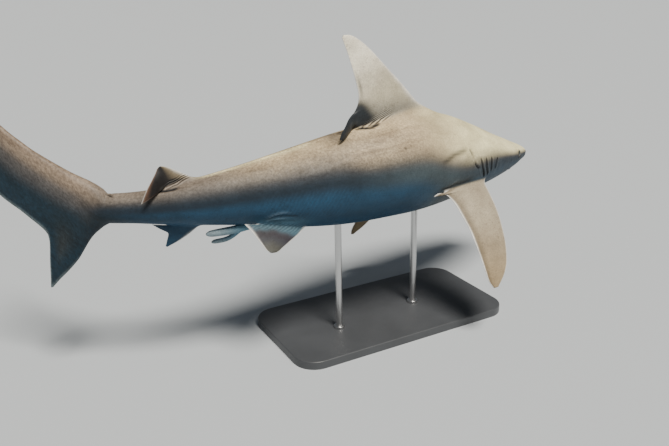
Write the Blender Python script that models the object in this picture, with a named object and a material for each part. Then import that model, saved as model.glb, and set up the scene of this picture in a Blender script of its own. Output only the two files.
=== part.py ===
"""Sandbar shark, adult male, life size, on a plain display stand.

The fish swims in a shallow C: head and tail both turn away from its right side.
Body lengths are fractions of LENGTH, measured back from the tip of the snout
along the curved spine.  World units are metres, +X is forward and +Z is up.
"""
import math

import bmesh
import bpy
import numpy as np
from mathutils import Vector

# ---- driving sizes --------------------------------------------------------
LENGTH = 1.80                 # snout tip to tail tip, m
HUB = 0.45                    # station whose place in the world is given
HUB_PLACE = (-0.190, -0.035, 0.445)   # the spine there, m over the middle of the stand's foot
GAP = 0.0003                  # clearance between neighbouring solids, m
EDGE = 0.0006                 # half thickness of a fin's thin rear edge, m
AROUND = 32                   # facets around the body

# ---- how the spine bends --------------------------------------------------
HEADING = ((0.00, 12.8), (0.06, 14.5), (0.12, 16.5), (0.19, 17.1), (0.26, 11.8), (0.42, 2.1),
           (0.60, -6.6), (0.74, -26.4), (0.87, -42.9), (1.00, -60.0))   # station, degrees
PITCH = ((0.00, -7.0), (0.12, -6.6), (0.25, -3.3), (0.50, -0.1), (0.74, -0.1), (1.00, -0.7))

# ---- the body's girth: station, back over spine, belly under it, half width
NOSE = 0.036                  # length of the rounded front of the snout
SNOUT = (0.000, 0.0076, 0.0126, 0.0281)
NOSTRILS = (0.030, 0.0137, 0.0169, 0.0358)
EYES = (0.075, 0.0256, 0.0276, 0.0512)
JAW_CORNERS = (0.120, 0.0380, 0.0393, 0.0597)
FIRST_GILL = (0.180, 0.0572, 0.0525, 0.0679)
SHOULDER = (0.240, 0.0763, 0.0613, 0.0694)
DORSAL_FRONT = (0.300, 0.0804, 0.0665, 0.0701)
DORSAL_MIDDLE = (0.360, 0.0744, 0.0663, 0.0678)
DORSAL_REAR = (0.430, 0.0657, 0.0641, 0.0601)
PELVIC_FRONT = (0.500, 0.0539, 0.0553, 0.0492)
VENT = (0.570, 0.0419, 0.0405, 0.0355)
SECOND_DORSAL = (0.640, 0.0309, 0.0296, 0.0261)
TAIL_STOCK = (0.700, 0.0221, 0.0227, 0.0191)
TAIL_PIT = (0.745, 0.0168, 0.0195, 0.0157)
GIRTHS = (SNOUT, NOSTRILS, EYES, JAW_CORNERS, FIRST_GILL, SHOULDER, DORSAL_FRONT, DORSAL_MIDDLE,
          DORSAL_REAR, PELVIC_FRONT, VENT, SECOND_DORSAL, TAIL_STOCK, TAIL_PIT)
HEAD_END = 0.236              # behind the last gill slit
TRUNK_END = 0.575             # behind the vent
TAIL_END = TAIL_PIT[0]
HEAD_FLATNESS = 0.22          # how square the underside of the head is
HEAD_FLAT_SPAN = (0.20, 0.10) # where that starts, going forward, and its run

# ---- fins on the middle line: (station, height from the spine) ------------
# rise: shares of the front edge that face the end of the base and the free rear tip
# turn: where the flexible rear starts, its run, how far it hangs right, and how high it reaches
FIRST_DORSAL = {
    "front": ((0.259, 0.055), (0.2735, 0.0830), (0.3035, 0.1107), (0.3423, 0.1451), (0.3771, 0.1762),
              (0.3985, 0.1910), (0.4165, 0.1978)),
    "inner": ((0.383, 0.0500), (0.395, 0.0715), (0.4423, 0.0662)),
    "rear": ((0.4423, 0.0662), (0.4270, 0.0790), (0.4100, 0.0862), (0.3995, 0.0950), (0.3956, 0.1090),
             (0.4009, 0.1403), (0.4089, 0.1651), (0.4192, 0.1950)),
    "thickness": (0.0110, 0.0016),
    "rise": (0.17, 0.28),
    "turn": (0.397, 0.046, 0.030, 0.040),
}
SECOND_DORSAL_FIN = {
    "front": ((0.620, 0.0200), (0.6368, 0.0340), (0.6512, 0.0438), (0.6631, 0.0495), (0.6745, 0.0521)),
    "inner": ((0.666, 0.0150), (0.674, 0.0275), (0.6995, 0.0150)),
    "rear": ((0.6995, 0.0150), (0.6880, 0.0300), (0.6775, 0.0405), (0.6765, 0.0500)),
    "thickness": (0.0046, 0.0012),
    "rise": (0.55, 0.63),
    "turn": (0.664, 0.034, 0.029, 0.030),
}
ANAL = {
    "front": ((0.620, -0.0190), (0.6336, -0.0320), (0.6460, -0.0415), (0.6597, -0.0497), (0.6765, -0.0575)),
    "inner": ((0.666, -0.0140), (0.673, -0.0272), (0.6930, -0.0250)),
    "rear": ((0.6930, -0.0250), (0.6836, -0.0318), (0.6740, -0.0383), (0.6762, -0.0479), (0.6787, -0.0562)),
    "thickness": (0.0046, 0.0012),
    "rise": (0.42, 0.50),
    "turn": (0.672, 0.024, 0.000, 0.020),
}
# ---- tail fin -------------------------------------------------------------
TAIL_BACK = ((0.7450, 0.0168), (0.7530, 0.0270), (0.7600, 0.0330), (0.7758, 0.0415), (0.7998, 0.0538),
             (0.8237, 0.0688), (0.8483, 0.0855), (0.8726, 0.1045), (0.9090, 0.1350), (0.9630, 0.1780))
LOWER_FRONT = ((0.7450, -0.0195), (0.7628, -0.0334), (0.7830, -0.0571), (0.8075, -0.0869),
               (0.8265, -0.1080), (0.8345, -0.1140))
LOWER_REAR = ((0.8366, -0.1128), (0.8382, -0.1023), (0.8389, -0.0805), (0.8367, -0.0589), (0.8299, -0.0346))
UPPER_REAR = ((0.8299, -0.0346), (0.8526, -0.0178), (0.8921, 0.0108), (0.9150, 0.0430), (0.9280, 0.0780),
              (0.9325, 0.1070))
END_LOBE = ((0.9340, 0.1085), (0.9510, 0.1215), (0.9690, 0.1385))
END_CUT = ((0.9690, 0.1385), (0.9628, 0.1575), (0.9640, 0.1765))
TAIL_RUNS = ((LOWER_FRONT, 8, 0.00, 0.18), (LOWER_REAR, 5, 0.20, 0.31), (UPPER_REAR, 7, 0.35, 0.76),
             (END_LOBE, 3, 0.78, 0.92), (END_CUT, 3, 0.94, 1.00))   # edge, rows, span of the back
TAIL_CORE = ((0.01815, 0.0157), (0.0050, 0.0030))   # half height and half width, at stock and tip
TAIL_WEB = (0.0030, 0.0004)   # half thickness of the web at the backbone and at its edge
TAIL_SKIRT = 2.4              # how far the core fades into the web, in core half heights
TAIL_TAPER = 0.85             # how soon the core narrows
TAIL_SPLIT = (0.7480, -0.0225)   # where the cut between the lobes leaves the stock

# ---- paired fins: (back along the base, out along the span) ----------------
# root: station, share of the half width, height; hang: degrees under level, rise of the base behind,
# and how far each share of span swings back
PECTORAL_ROOT = (0.200, 0.90, -0.0240)
PECTORAL_HANGS = {"right": (56.0, 0.00, 0.0), "left": (56.0, 0.00, 0.08)}
PECTORAL_BOW = 0.006          # how far the fin arches upward at mid span
PECTORAL = {
    "front": ((-0.004, -0.045), (-0.002, 0.000), (-0.0025, 0.0220), (0.0017, 0.0541), (0.0110, 0.0917),
              (0.0205, 0.1190), (0.0360, 0.1440), (0.0570, 0.1600)),
    "inner": ((0.052, -0.045), (0.066, -0.006), (0.1205, 0.0022)),
    "rear": ((0.1205, 0.0022), (0.0960, 0.0050), (0.0830, 0.0165), (0.0763, 0.0386), (0.0733, 0.0654),
             (0.0722, 0.0953), (0.0722, 0.1305), (0.0706, 0.1500), (0.0655, 0.1595)),
    "thickness": (0.0120, 0.0018),
    "rise": (0.19, 0.21),
}
SPAN = PECTORAL["front"][-1][1]
PELVIC_ROOT = (0.4955, 0.50, -0.0478)
PELVIC_HANG = (46.0, 0.22, 0.0)
PELVIC = {
    "front": ((-0.010, -0.022), (0.0045, 0.0055), (0.0325, 0.0249), (0.0545, 0.0420)),
    "inner": ((0.046, -0.030), (0.056, -0.008), (0.0845, 0.0000)),
    "rear": ((0.0845, 0.0000), (0.0770, 0.0095), (0.0698, 0.0227), (0.0595, 0.0415)),
    "thickness": (0.0064, 0.0014),
    "rise": (0.22, 0.25),
}
CLASPERS = {
    "right": ((0.548, -0.0110, -0.0360), (0.580, -0.0100, -0.0412), (0.6266, -0.0080, -0.0434)),
    "left": ((0.542, 0.0120, -0.0400), (0.582, 0.0120, -0.0600), (0.6170, 0.0120, -0.0632)),
}                             # root, middle and tip: station, side, height
CLASPER_RADII = (0.0060, 0.0064, 0.0068, 0.0066, 0.0058, 0.0046, 0.0024)

# ---- eyes -----------------------------------------------------------------
EYE_PLACE = (0.0665, 0.0042)  # station, height over the spine
EYE_RADIUS = 0.0165           # m
EYE_SINK = 0.0135             # depth of the eyeball's centre under the cheek, m

# ---- display stand, m -----------------------------------------------------
BASE_SIZE = (0.66, 0.34, 0.022)
BASE_CORNER = 0.060
BASE_BEVEL = 0.003
ROD_STATIONS = {"stand_rod_front": 0.285, "stand_rod_rear": 0.430}
ROD_RADIUS = 0.009

# ---- finishes: colour, roughness, metallic --------------------------------
BACK_GREY = ((0.30, 0.26, 0.20), 0.50, 0.0)
FLANK_GREY = ((0.36, 0.33, 0.28), 0.50, 0.0)
FIN_GREY = ((0.27, 0.24, 0.20), 0.52, 0.0)
CLASPER_PALE = ((0.42, 0.41, 0.39), 0.48, 0.0)
EYE_DARK = ((0.05, 0.05, 0.04), 0.10, 0.0)
BASE_PAINT = ((0.055, 0.058, 0.062), 0.45, 0.0)
ROD_STEEL = ((0.60, 0.60, 0.60), 0.32, 1.0)


# ---- curves ---------------------------------------------------------------
def smooth(knots, values, where):
    """Cubic curve through values at knots, with centred slopes."""
    knots = np.asarray(knots, float)
    values = np.asarray(values, float)
    where = np.asarray(where, float)
    slopes = np.gradient(values, knots)
    left = np.clip(np.searchsorted(knots, where, side="right") - 1, 0, len(knots) - 2)
    span = knots[left + 1] - knots[left]
    t = (where - knots[left]) / span
    rise = 3 * t ** 2 - 2 * t ** 3
    start = (t ** 3 - 2 * t ** 2 + t) * span * slopes[left]
    stop = (t ** 3 - t ** 2) * span * slopes[left + 1]
    return values[left] * (1 - rise) + values[left + 1] * rise + start + stop


def along(points, share, trace=smooth):
    """Points at the given shares of the length of a curve through points."""
    points = np.asarray(points, float)
    steps = np.hypot(*np.diff(points, axis=0).T)
    knots = np.concatenate([[0.0], np.cumsum(steps)]) / steps.sum()
    return np.column_stack([trace(knots, points[:, axis], share) for axis in (0, 1)])


def straight(knots, values, where):
    """Straight runs through values at knots."""
    return np.interp(where, knots, values)


def ramp(value):
    """Smooth step from 0 at 0 to 1 at 1."""
    value = np.clip(value, 0.0, 1.0)
    return value * value * (3.0 - 2.0 * value)


# ---- the curved spine -----------------------------------------------------
def angles(station):
    """Heading and pitch of the spine, in radians."""
    heading = smooth(*zip(*HEADING), station)
    pitch = smooth(*zip(*PITCH), station)
    return np.radians(heading), np.radians(pitch)


def axes(station):
    """Forward, left and up directions of the body at a station."""
    heading, pitch = angles(np.asarray(station, float))
    level = np.cos(pitch)
    forward = np.stack([np.cos(heading) * level, np.sin(heading) * level, np.sin(pitch)], -1)
    left = np.stack([-np.sin(heading), np.cos(heading), 0.0 * heading], -1)
    return forward, left, np.cross(forward, left)


def trace_spine(steps=500):
    """Stations and world points of the spine, in metres."""
    stations = np.linspace(0.0, 1.0, steps + 1)
    middles = (stations[1:] + stations[:-1]) / 2
    hops = -axes(middles)[0] * LENGTH / steps
    points = np.vstack([np.zeros(3), np.cumsum(hops, axis=0)])
    hub = np.array([np.interp(HUB, stations, points[:, axis]) for axis in range(3)])
    return stations, points - hub + HUB_PLACE


SPINE_STATIONS, SPINE_POINTS = trace_spine()


def place(station, side, height):
    """World points from a station, a distance to the left and one up, as shares of LENGTH."""
    station, side, height = np.broadcast_arrays(*[np.asarray(v, float) for v in (station, side, height)])
    base = np.stack([np.interp(station, SPINE_STATIONS, SPINE_POINTS[:, axis]) for axis in range(3)], -1)
    forward, left, up = axes(station)
    return base + LENGTH * (side[..., None] * left + height[..., None] * up)


def girth(station):
    """Back height, belly depth and half width of the body at a station."""
    columns = np.array(GIRTHS).T
    blunt = np.sqrt(1.0 - (1.0 - np.clip(station / NOSE, 0.0, 1.0)) ** 2)
    return [smooth(columns[0], column, station) * blunt for column in columns[1:]]


def body_ring(station, grow=0.0):
    """World points round the body at a station, its skin moved out by grow metres."""
    turn = np.linspace(0.0, 2 * math.pi, AROUND, endpoint=False)
    back, belly, half = girth(station)
    more = grow / LENGTH
    begin, run = HEAD_FLAT_SPAN
    flat = 1.0 / (1.0 + HEAD_FLATNESS * ramp((begin - station) / run))
    power = np.where(np.sin(turn) < 0.0, flat, 1.0)
    out = np.sign(np.cos(turn)) * np.abs(np.cos(turn)) ** power
    rise = np.sign(np.sin(turn)) * np.abs(np.sin(turn)) ** power
    height = np.where(rise > 0.0, back + more, belly + more) * rise
    return place(station, (half + more) * out, height)


# ---- mesh helpers ---------------------------------------------------------
def to_collection(name):
    """A collection of the given name, linked to the scene."""
    group = bpy.data.collections.new(name)
    bpy.context.scene.collection.children.link(group)
    return group


def add_mesh(name, mesh, group):
    """Turn a bmesh into a smooth object in a collection."""
    bmesh.ops.recalc_face_normals(mesh, faces=mesh.faces)
    data = bpy.data.meshes.new(name)
    mesh.to_mesh(data)
    mesh.free()
    data.shade_smooth()
    item = bpy.data.objects.new(name, data)
    group.objects.link(item)
    return item


def loft(name, rings, group):
    """Closed skin over a row of rings with equal counts, its facets alike on both sides."""
    mesh = bmesh.new()
    rows = [[mesh.verts.new(point) for point in ring] for ring in rings]
    for near, far in zip(rows, rows[1:]):
        for i in range(len(near)):
            j = (i + 1) % len(near)
            if i < len(near) // 2:
                mesh.faces.new((near[i], near[j], far[j]))
                mesh.faces.new((near[i], far[j], far[i]))
            else:
                mesh.faces.new((near[i], near[j], far[i]))
                mesh.faces.new((near[j], far[j], far[i]))
    mesh.faces.new(rows[0][::-1])
    mesh.faces.new(rows[-1])
    return add_mesh(name, mesh, group)


def carve(item, cutter, operation="DIFFERENCE"):
    """Apply an exact Boolean of the cutter on an object."""
    step = item.modifiers.new(cutter.name, "BOOLEAN")
    step.operation = operation
    step.solver = "EXACT"
    step.object = cutter
    bpy.context.view_layer.objects.active = item
    bpy.ops.object.modifier_apply(modifier=step.name)


def slice_off(item, point, normal):
    """Keep the part of an object that lies behind a plane, and close the cut."""
    mesh = bmesh.new()
    mesh.from_mesh(item.data)
    every = mesh.verts[:] + mesh.edges[:] + mesh.faces[:]
    bmesh.ops.bisect_plane(mesh, geom=every, plane_co=point, plane_no=normal, clear_outer=True)
    rim = [edge for edge in mesh.edges if edge.is_boundary]
    bmesh.ops.holes_fill(mesh, edges=rim)
    bmesh.ops.recalc_face_normals(mesh, faces=mesh.faces)
    mesh.to_mesh(item.data)
    mesh.free()


def paint(item, finish):
    """Give an object its own Principled material."""
    colour, roughness, metallic = finish
    material = bpy.data.materials.new(item.name + "_finish")
    material.use_nodes = True
    surface = material.node_tree.nodes["Principled BSDF"]
    surface.inputs["Base Color"].default_value = (*colour, 1.0)
    surface.inputs["Roughness"].default_value = roughness
    surface.inputs["Metallic"].default_value = metallic
    item.data.materials.clear()
    item.data.materials.append(material)


# ---- body -----------------------------------------------------------------
def nose_stations(count=6):
    """Stations that crowd toward the tip of the snout."""
    turn = np.linspace(0.10, math.pi / 2, count, endpoint=False)
    return NOSE * (1.0 - np.cos(turn))


def body_stations(start, stop, count):
    """Evenly spaced stations, with the snout's own ones where the run starts there."""
    if start > 0.0:
        return np.linspace(start, stop, count)
    return np.concatenate([nose_stations(), np.linspace(NOSE, stop, count)])


def build_body(name, start, stop, count, group, grow=0.0):
    """One length of the body, cut square to the spine."""
    return loft(name, [body_ring(s, grow) for s in body_stations(start, stop, count)], group)


def eyeball(name, side, grow, group):
    """A ball at the cheek; side is +1 for the left eye."""
    station, height = EYE_PLACE
    half = girth(station)[2] - EYE_SINK / LENGTH
    centre = place(station, side * half, height)
    mesh = bmesh.new()
    bmesh.ops.create_uvsphere(mesh, u_segments=14, v_segments=8, radius=EYE_RADIUS + grow)
    left = Vector(axes(station)[1])
    turn = Vector((0.0, 0.0, 1.0)).rotation_difference(left * side)
    bmesh.ops.rotate(mesh, verts=mesh.verts, matrix=turn.to_matrix())
    bmesh.ops.translate(mesh, verts=mesh.verts, vec=centre)
    return add_mesh(name, mesh, group)


# ---- fins -----------------------------------------------------------------
def blade_width(share):
    """Half thickness of a fin along its chord: round in front, thin behind; 1 at its thickest."""
    foil = (0.2969 * np.sqrt(share) - 0.1260 * share - 0.3516 * share ** 2
            + 0.2843 * share ** 3 - 0.1036 * share ** 4)
    return foil / 0.1


def fin_rings(fin, rows, chord, locate):
    """Rings across a fin from its root to its tip."""
    inner = np.linspace(0.0, 1.0, rows[0])
    outer = 1.0 - (1.0 - np.linspace(0.0, 1.0, rows[1] + 1)[1:]) ** 1.25
    base, free = fin["rise"]
    steps = np.hypot(*np.diff(fin["inner"], axis=0).T)
    facing = np.interp(inner, (0.0, steps[0] / steps.sum(), 1.0), (0.0, base, free))
    spans = np.concatenate([facing, free + (1.0 - free) * outer])
    front = along(fin["front"], spans)
    rear = np.vstack([along(fin["inner"], inner, straight), along(fin["rear"], outer)])
    root, tip = fin["thickness"]
    share = (1.0 - np.cos(np.linspace(0.0, math.pi, chord + 1))) / 2
    rings = []
    for fore, aft, span in zip(front, rear, spans):
        flat = fore + (aft - fore) * share[:, None]
        thick = (root + (tip - root) * span) * blade_width(share) / 2 + EDGE / LENGTH * np.sqrt(share)
        left = locate(flat[:, 0], flat[:, 1], thick)
        right = locate(flat[1:, 0], flat[1:, 1], -thick[1:])
        rings.append(np.vstack([left, right[::-1]]))
    return rings


def on_middle(fin):
    """Placing function of a fin that stands on the middle line."""
    begin, run, turn, depth = fin["turn"]

    def locate(station, height, side):
        foot = np.abs(height) - np.abs(fin["inner"][1][1])
        lean = -turn * ramp((station - begin) / run) * ramp(1.0 - foot / depth)
        return place(station, side + lean, height)
    return locate


def on_side(root, hang, bow, side):
    """Placing function of a paired fin that follows the flank; side is +1 for the left one."""
    start, share, height = root
    half = girth(start)[2]
    tilt = math.radians(hang[0])

    def locate(back, out, thick):
        station = start + back + hang[2] * out
        base = place(station, side * share * half, height + hang[1] * back)
        left, up = axes(station)[1:]
        outward = math.cos(tilt) * side * left - math.sin(tilt) * up
        normal = math.sin(tilt) * side * left + math.cos(tilt) * up
        arch = bow * np.sin(math.pi * np.clip(out / SPAN, 0.0, 1.0))
        return base + LENGTH * (out[:, None] * outward + (thick + arch)[:, None] * normal)
    return locate


def build_fin(name, fin, rows, chord, locate, body, group):
    """A fin whose root follows the body's skin."""
    item = loft(name, fin_rings(fin, rows, chord, locate), group)
    carve(item, body)
    return item


def tail_core(span):
    """Half height and half width of the backbone's core at a share of the tail fin."""
    stock, tip = np.array(TAIL_CORE)
    return stock + (tip - stock) * span ** TAIL_TAPER


def tail_profile(depth, length, span):
    """Half thickness of the tail fin at depths under its back edge."""
    tall, wide = tail_core(span)
    upper = np.sqrt(np.clip(1.0 - (1.0 - depth / tall) ** 2, 0.0, 1.0))
    reach = min(length - tall, TAIL_SKIRT * tall)
    below = np.clip((depth - tall) / reach, 0.0, 1.0)
    easy = ramp(span / 0.10)
    lower = (1.0 - easy) * np.sqrt(1.0 - below ** 2) + easy * (1.0 + np.cos(math.pi * below)) / 2
    core = np.where(depth < tall, upper, lower)
    web = (TAIL_WEB[1] + (TAIL_WEB[0] - TAIL_WEB[1]) * (1.0 - depth / length)) * ramp(span / 0.05)
    web = web * np.sqrt(np.clip(depth / tall, 0.0, 1.0))
    return web + (wide - web) * core


def tail_depths(length, span, core_steps=6, web_steps=4):
    """Depths under the back edge that crowd where the backbone lies."""
    tall = tail_core(span)[0]
    reach = min((TAIL_SKIRT + 0.6) * tall, 0.80 * length)
    core = reach * (1.0 - np.cos(np.linspace(0.0, math.pi / 2, core_steps + 1)))
    return np.concatenate([core, np.linspace(reach, length, web_steps + 1)[1:]])


def tail_rings():
    """Rings across the tail fin, from its stock to its tip."""
    rings = []
    for edge, rows, first, last in TAIL_RUNS:
        spans = np.linspace(first, last, rows)
        backs = along(TAIL_BACK, spans)
        edges = along(edge, np.linspace(0.0, 1.0, rows))
        for top, low, span in zip(backs, edges, spans):
            length = math.hypot(*(low - top))
            depth = tail_depths(length, span)
            flat = top + (low - top) * (depth / length)[:, None]
            thick = tail_profile(depth, length, span)
            left = place(flat[:, 0], thick, flat[:, 1])
            right = place(flat[1:, 0], -thick[1:], flat[1:, 1])
            rings.append(np.vstack([left, right[::-1]]))
    return rings


def build_tail(group):
    """Upper and lower lobe of the tail fin, parted below the backbone."""
    ends = (TAIL_SPLIT, UPPER_REAR[0])
    start, fork = [Vector(place(station, 0.0, height)) for station, height in ends]
    across = Vector(axes((TAIL_SPLIT[0] + UPPER_REAR[0][0]) / 2)[1])
    down = (fork - start).cross(across).normalized()
    if down.z > 0.0:
        down = -down
    upper = loft("caudal_upper_lobe", tail_rings(), group)
    lower = loft("caudal_lower_lobe", tail_rings(), group)
    slice_off(upper, start, down)
    slice_off(lower, start + down * GAP, -down)
    return upper, lower


def build_clasper(name, path, body, group):
    """A bent, tapering rod beside the vent, rounded at its tip."""
    shares = np.array((0.0, 0.25, 0.50, 0.72, 0.86, 0.95, 1.0))
    knots = (0.0, 0.5, 1.0)
    stations, sides, heights = [smooth(knots, column, shares) for column in zip(*path)]
    centres = place(stations, sides, heights)
    turn = np.linspace(0.0, 2 * math.pi, 12, endpoint=False)
    rings = []
    for centre, station, radius in zip(centres, stations, CLASPER_RADII):
        left, up = axes(station)[1:]
        circle = np.outer(np.cos(turn), left) + np.outer(np.sin(turn), up)
        rings.append(centre + circle * radius * LENGTH)
    item = loft(name, rings, group)
    carve(item, body)
    return item


# ---- display stand --------------------------------------------------------
def build_base(group):
    """Flat base with rounded corners and a soft upper edge."""
    thickness = BASE_SIZE[2]
    mesh = bmesh.new()
    bmesh.ops.create_cube(mesh, size=1.0)
    bmesh.ops.scale(mesh, verts=mesh.verts, vec=BASE_SIZE)
    bmesh.ops.translate(mesh, verts=mesh.verts, vec=(0.0, 0.0, thickness / 2))
    corners = [edge for edge in mesh.edges if abs(edge.verts[0].co.z - edge.verts[1].co.z) > thickness / 2]
    bmesh.ops.bevel(mesh, geom=corners, offset=BASE_CORNER, segments=8, affect="EDGES", profile=0.5)
    rim = [edge for edge in mesh.edges if min(v.co.z for v in edge.verts) > thickness * 0.9]
    bmesh.ops.bevel(mesh, geom=rim, offset=BASE_BEVEL, segments=2, affect="EDGES", profile=0.5)
    item = add_mesh("stand_base", mesh, group)
    item.data.shade_flat()
    return item


def build_rod(name, station, body, group):
    """Upright rod from the base to the belly, its top shaped to the skin."""
    foot = place(station, 0.0, 0.0)
    bottom = BASE_SIZE[2] + GAP
    top = foot[2]
    mesh = bmesh.new()
    bmesh.ops.create_cone(mesh, cap_ends=True, segments=24, radius1=ROD_RADIUS, radius2=ROD_RADIUS,
                          depth=top - bottom)
    bmesh.ops.translate(mesh, verts=mesh.verts, vec=(foot[0], foot[1], (top + bottom) / 2))
    item = add_mesh(name, mesh, group)
    carve(item, body)
    return item


# ---- assembly -------------------------------------------------------------
def build_shark(group, cutters):
    """Every sub-part, each with its finish."""
    body = build_body("body_cutter", 0.0, TAIL_END, 62, cutters, grow=GAP)
    seam = GAP / LENGTH
    head = build_body("head", 0.0, HEAD_END, 17, group)
    trunk = build_body("trunk", HEAD_END + seam, TRUNK_END, 21, group)
    stock = build_body("tail_stock", TRUNK_END + seam, TAIL_END - seam, 11, group)
    for side, word in ((1, "left"), (-1, "right")):
        socket = eyeball("socket_" + word, side, GAP, cutters)
        carve(head, socket)
        paint(eyeball("eye_" + word, side, 0.0, group), EYE_DARK)
        locate = on_side(PECTORAL_ROOT, PECTORAL_HANGS[word], PECTORAL_BOW, side)
        paint(build_fin("pectoral_fin_" + word, PECTORAL, (5, 11), 9, locate, body, group), FIN_GREY)
        locate = on_side(PELVIC_ROOT, PELVIC_HANG, 0.0, side)
        paint(build_fin("pelvic_fin_" + word, PELVIC, (4, 6), 7, locate, body, group), FIN_GREY)
        paint(build_clasper("clasper_" + word, CLASPERS[word], body, group), CLASPER_PALE)
    fins = (("first_dorsal_fin", FIRST_DORSAL, (5, 12), 9),
            ("second_dorsal_fin", SECOND_DORSAL_FIN, (4, 6), 7),
            ("anal_fin", ANAL, (4, 6), 7))
    for name, fin, rows, chord in fins:
        paint(build_fin(name, fin, rows, chord, on_middle(fin), body, group), FIN_GREY)
    for lobe in build_tail(group):
        paint(lobe, FIN_GREY)
    paint(head, BACK_GREY)
    paint(trunk, FLANK_GREY)
    paint(stock, BACK_GREY)
    paint(build_base(group), BASE_PAINT)
    for name, station in ROD_STATIONS.items():
        paint(build_rod(name, station, body, group), ROD_STEEL)


def main():
    """Clear the scene and build the model."""
    for item in list(bpy.data.objects):
        bpy.data.objects.remove(item)
    group = to_collection("sandbar_shark")
    cutters = to_collection("cutters")
    build_shark(group, cutters)
    for item in cutters.objects:
        item.hide_render = True
        item.display_type = "WIRE"


if __name__ == "__main__":
    main()
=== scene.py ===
"""Sandbar shark, adult male, life size, on a plain display stand.

The flesh is one closed skin.  It is woven in code from named sizes: rings round a
curved spine, fins grown out of the rings, and creases pressed into the surface.
Eyes, plate and rods are pieces of their own.  Lengths on the body are shares of
LENGTH unless a unit is given; a station is such a length back from the snout
along the spine.
"""
import math
from types import SimpleNamespace

import bpy
import numpy as np
from bpy.props import FloatProperty, FloatVectorProperty, PointerProperty
from mathutils import Matrix, Vector
from mathutils.bvhtree import BVHTree


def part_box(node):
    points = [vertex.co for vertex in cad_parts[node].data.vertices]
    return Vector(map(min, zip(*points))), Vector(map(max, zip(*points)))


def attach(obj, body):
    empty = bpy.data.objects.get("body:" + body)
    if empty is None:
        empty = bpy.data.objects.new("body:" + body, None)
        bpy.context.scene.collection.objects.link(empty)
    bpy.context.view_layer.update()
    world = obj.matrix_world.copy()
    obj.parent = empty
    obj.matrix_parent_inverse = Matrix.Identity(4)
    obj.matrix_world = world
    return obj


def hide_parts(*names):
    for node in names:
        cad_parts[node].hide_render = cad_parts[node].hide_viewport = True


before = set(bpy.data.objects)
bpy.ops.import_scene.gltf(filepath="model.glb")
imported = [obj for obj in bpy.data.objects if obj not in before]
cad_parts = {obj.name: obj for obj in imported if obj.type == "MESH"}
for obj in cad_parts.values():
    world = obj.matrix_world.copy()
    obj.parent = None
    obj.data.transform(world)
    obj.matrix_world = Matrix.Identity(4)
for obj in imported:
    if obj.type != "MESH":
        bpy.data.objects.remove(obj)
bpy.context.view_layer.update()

bl_info = {
    "name": "Sandbar Shark on a Stand",
    "version": (1, 0, 0),
    "blender": (4, 5, 0),
    "location": "3D View > Sidebar > Shark",
    "description": "Builds a life-size still model of a sandbar shark on a display stand",
    "category": "Object",
}

FLESH = ("head", "trunk", "tail_stock", "caudal_upper_lobe", "caudal_lower_lobe",
         "first_dorsal_fin", "second_dorsal_fin", "anal_fin", "pectoral_fin_left",
         "pectoral_fin_right", "pelvic_fin_left", "pelvic_fin_right", "clasper_left",
         "clasper_right")

# ---- the body, as shares of its length ------------------------------------
LENGTH = 1.80                 # m
HUB = 0.45                    # the station that sets the body's place
HUB_PLACE = (-0.190, -0.035, 0.445)   # where it is, m
COLUMNS = 144                 # round the body
HEADING = ((0.00, 12.8), (0.06, 14.5), (0.12, 16.5), (0.19, 17.1), (0.26, 11.8), (0.42, 2.1),
           (0.60, -6.6), (0.74, -26.4), (0.87, -42.9), (1.00, -60.0))   # station, degrees
PITCH = ((0.00, -7.0), (0.12, -6.6), (0.25, -3.3), (0.50, -0.1), (0.74, -0.1), (1.00, -0.7))
NOSE = 0.036                  # length of the rounded front of the snout
GIRTHS = (                    # station, back over the spine, belly under it, half width
    (0.000, 0.0076, 0.0126, 0.0281), (0.030, 0.0137, 0.0169, 0.0358), (0.075, 0.0256, 0.0276, 0.0512),
    (0.120, 0.0380, 0.0393, 0.0597), (0.180, 0.0572, 0.0525, 0.0679), (0.240, 0.0752, 0.0613, 0.0694),
    (0.300, 0.0804, 0.0665, 0.0701), (0.360, 0.0744, 0.0663, 0.0678), (0.430, 0.0657, 0.0641, 0.0601),
    (0.500, 0.0539, 0.0553, 0.0492), (0.570, 0.0419, 0.0405, 0.0355), (0.640, 0.0300, 0.0296, 0.0261),
    (0.680, 0.0226, 0.0246, 0.0210), (0.715, 0.0198, 0.0208, 0.0177), (0.745, 0.0190, 0.0195, 0.0157))
BODY_END = GIRTHS[-1][0]      # where the tail fin begins
HEAD_FLATNESS = 0.22          # how square the underside of the head is
HEAD_FLAT_SPAN = (0.20, 0.10)   # none of it behind this station, all of it this much further forward
SPACING = ((0.036, 2.7), (0.060, 2.5), (0.110, 2.5), (0.162, 2.8), (0.168, 1.9), (0.233, 1.9),
           (0.246, 4.4), (0.285, 6.6), (0.330, 5.0), (0.345, 3.4), (0.415, 3.2), (0.440, 6.8),
           (0.560, 6.2), (0.660, 5.0), (0.730, 3.8), (0.745, 2.6))   # station, ring spacing in mm

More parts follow.
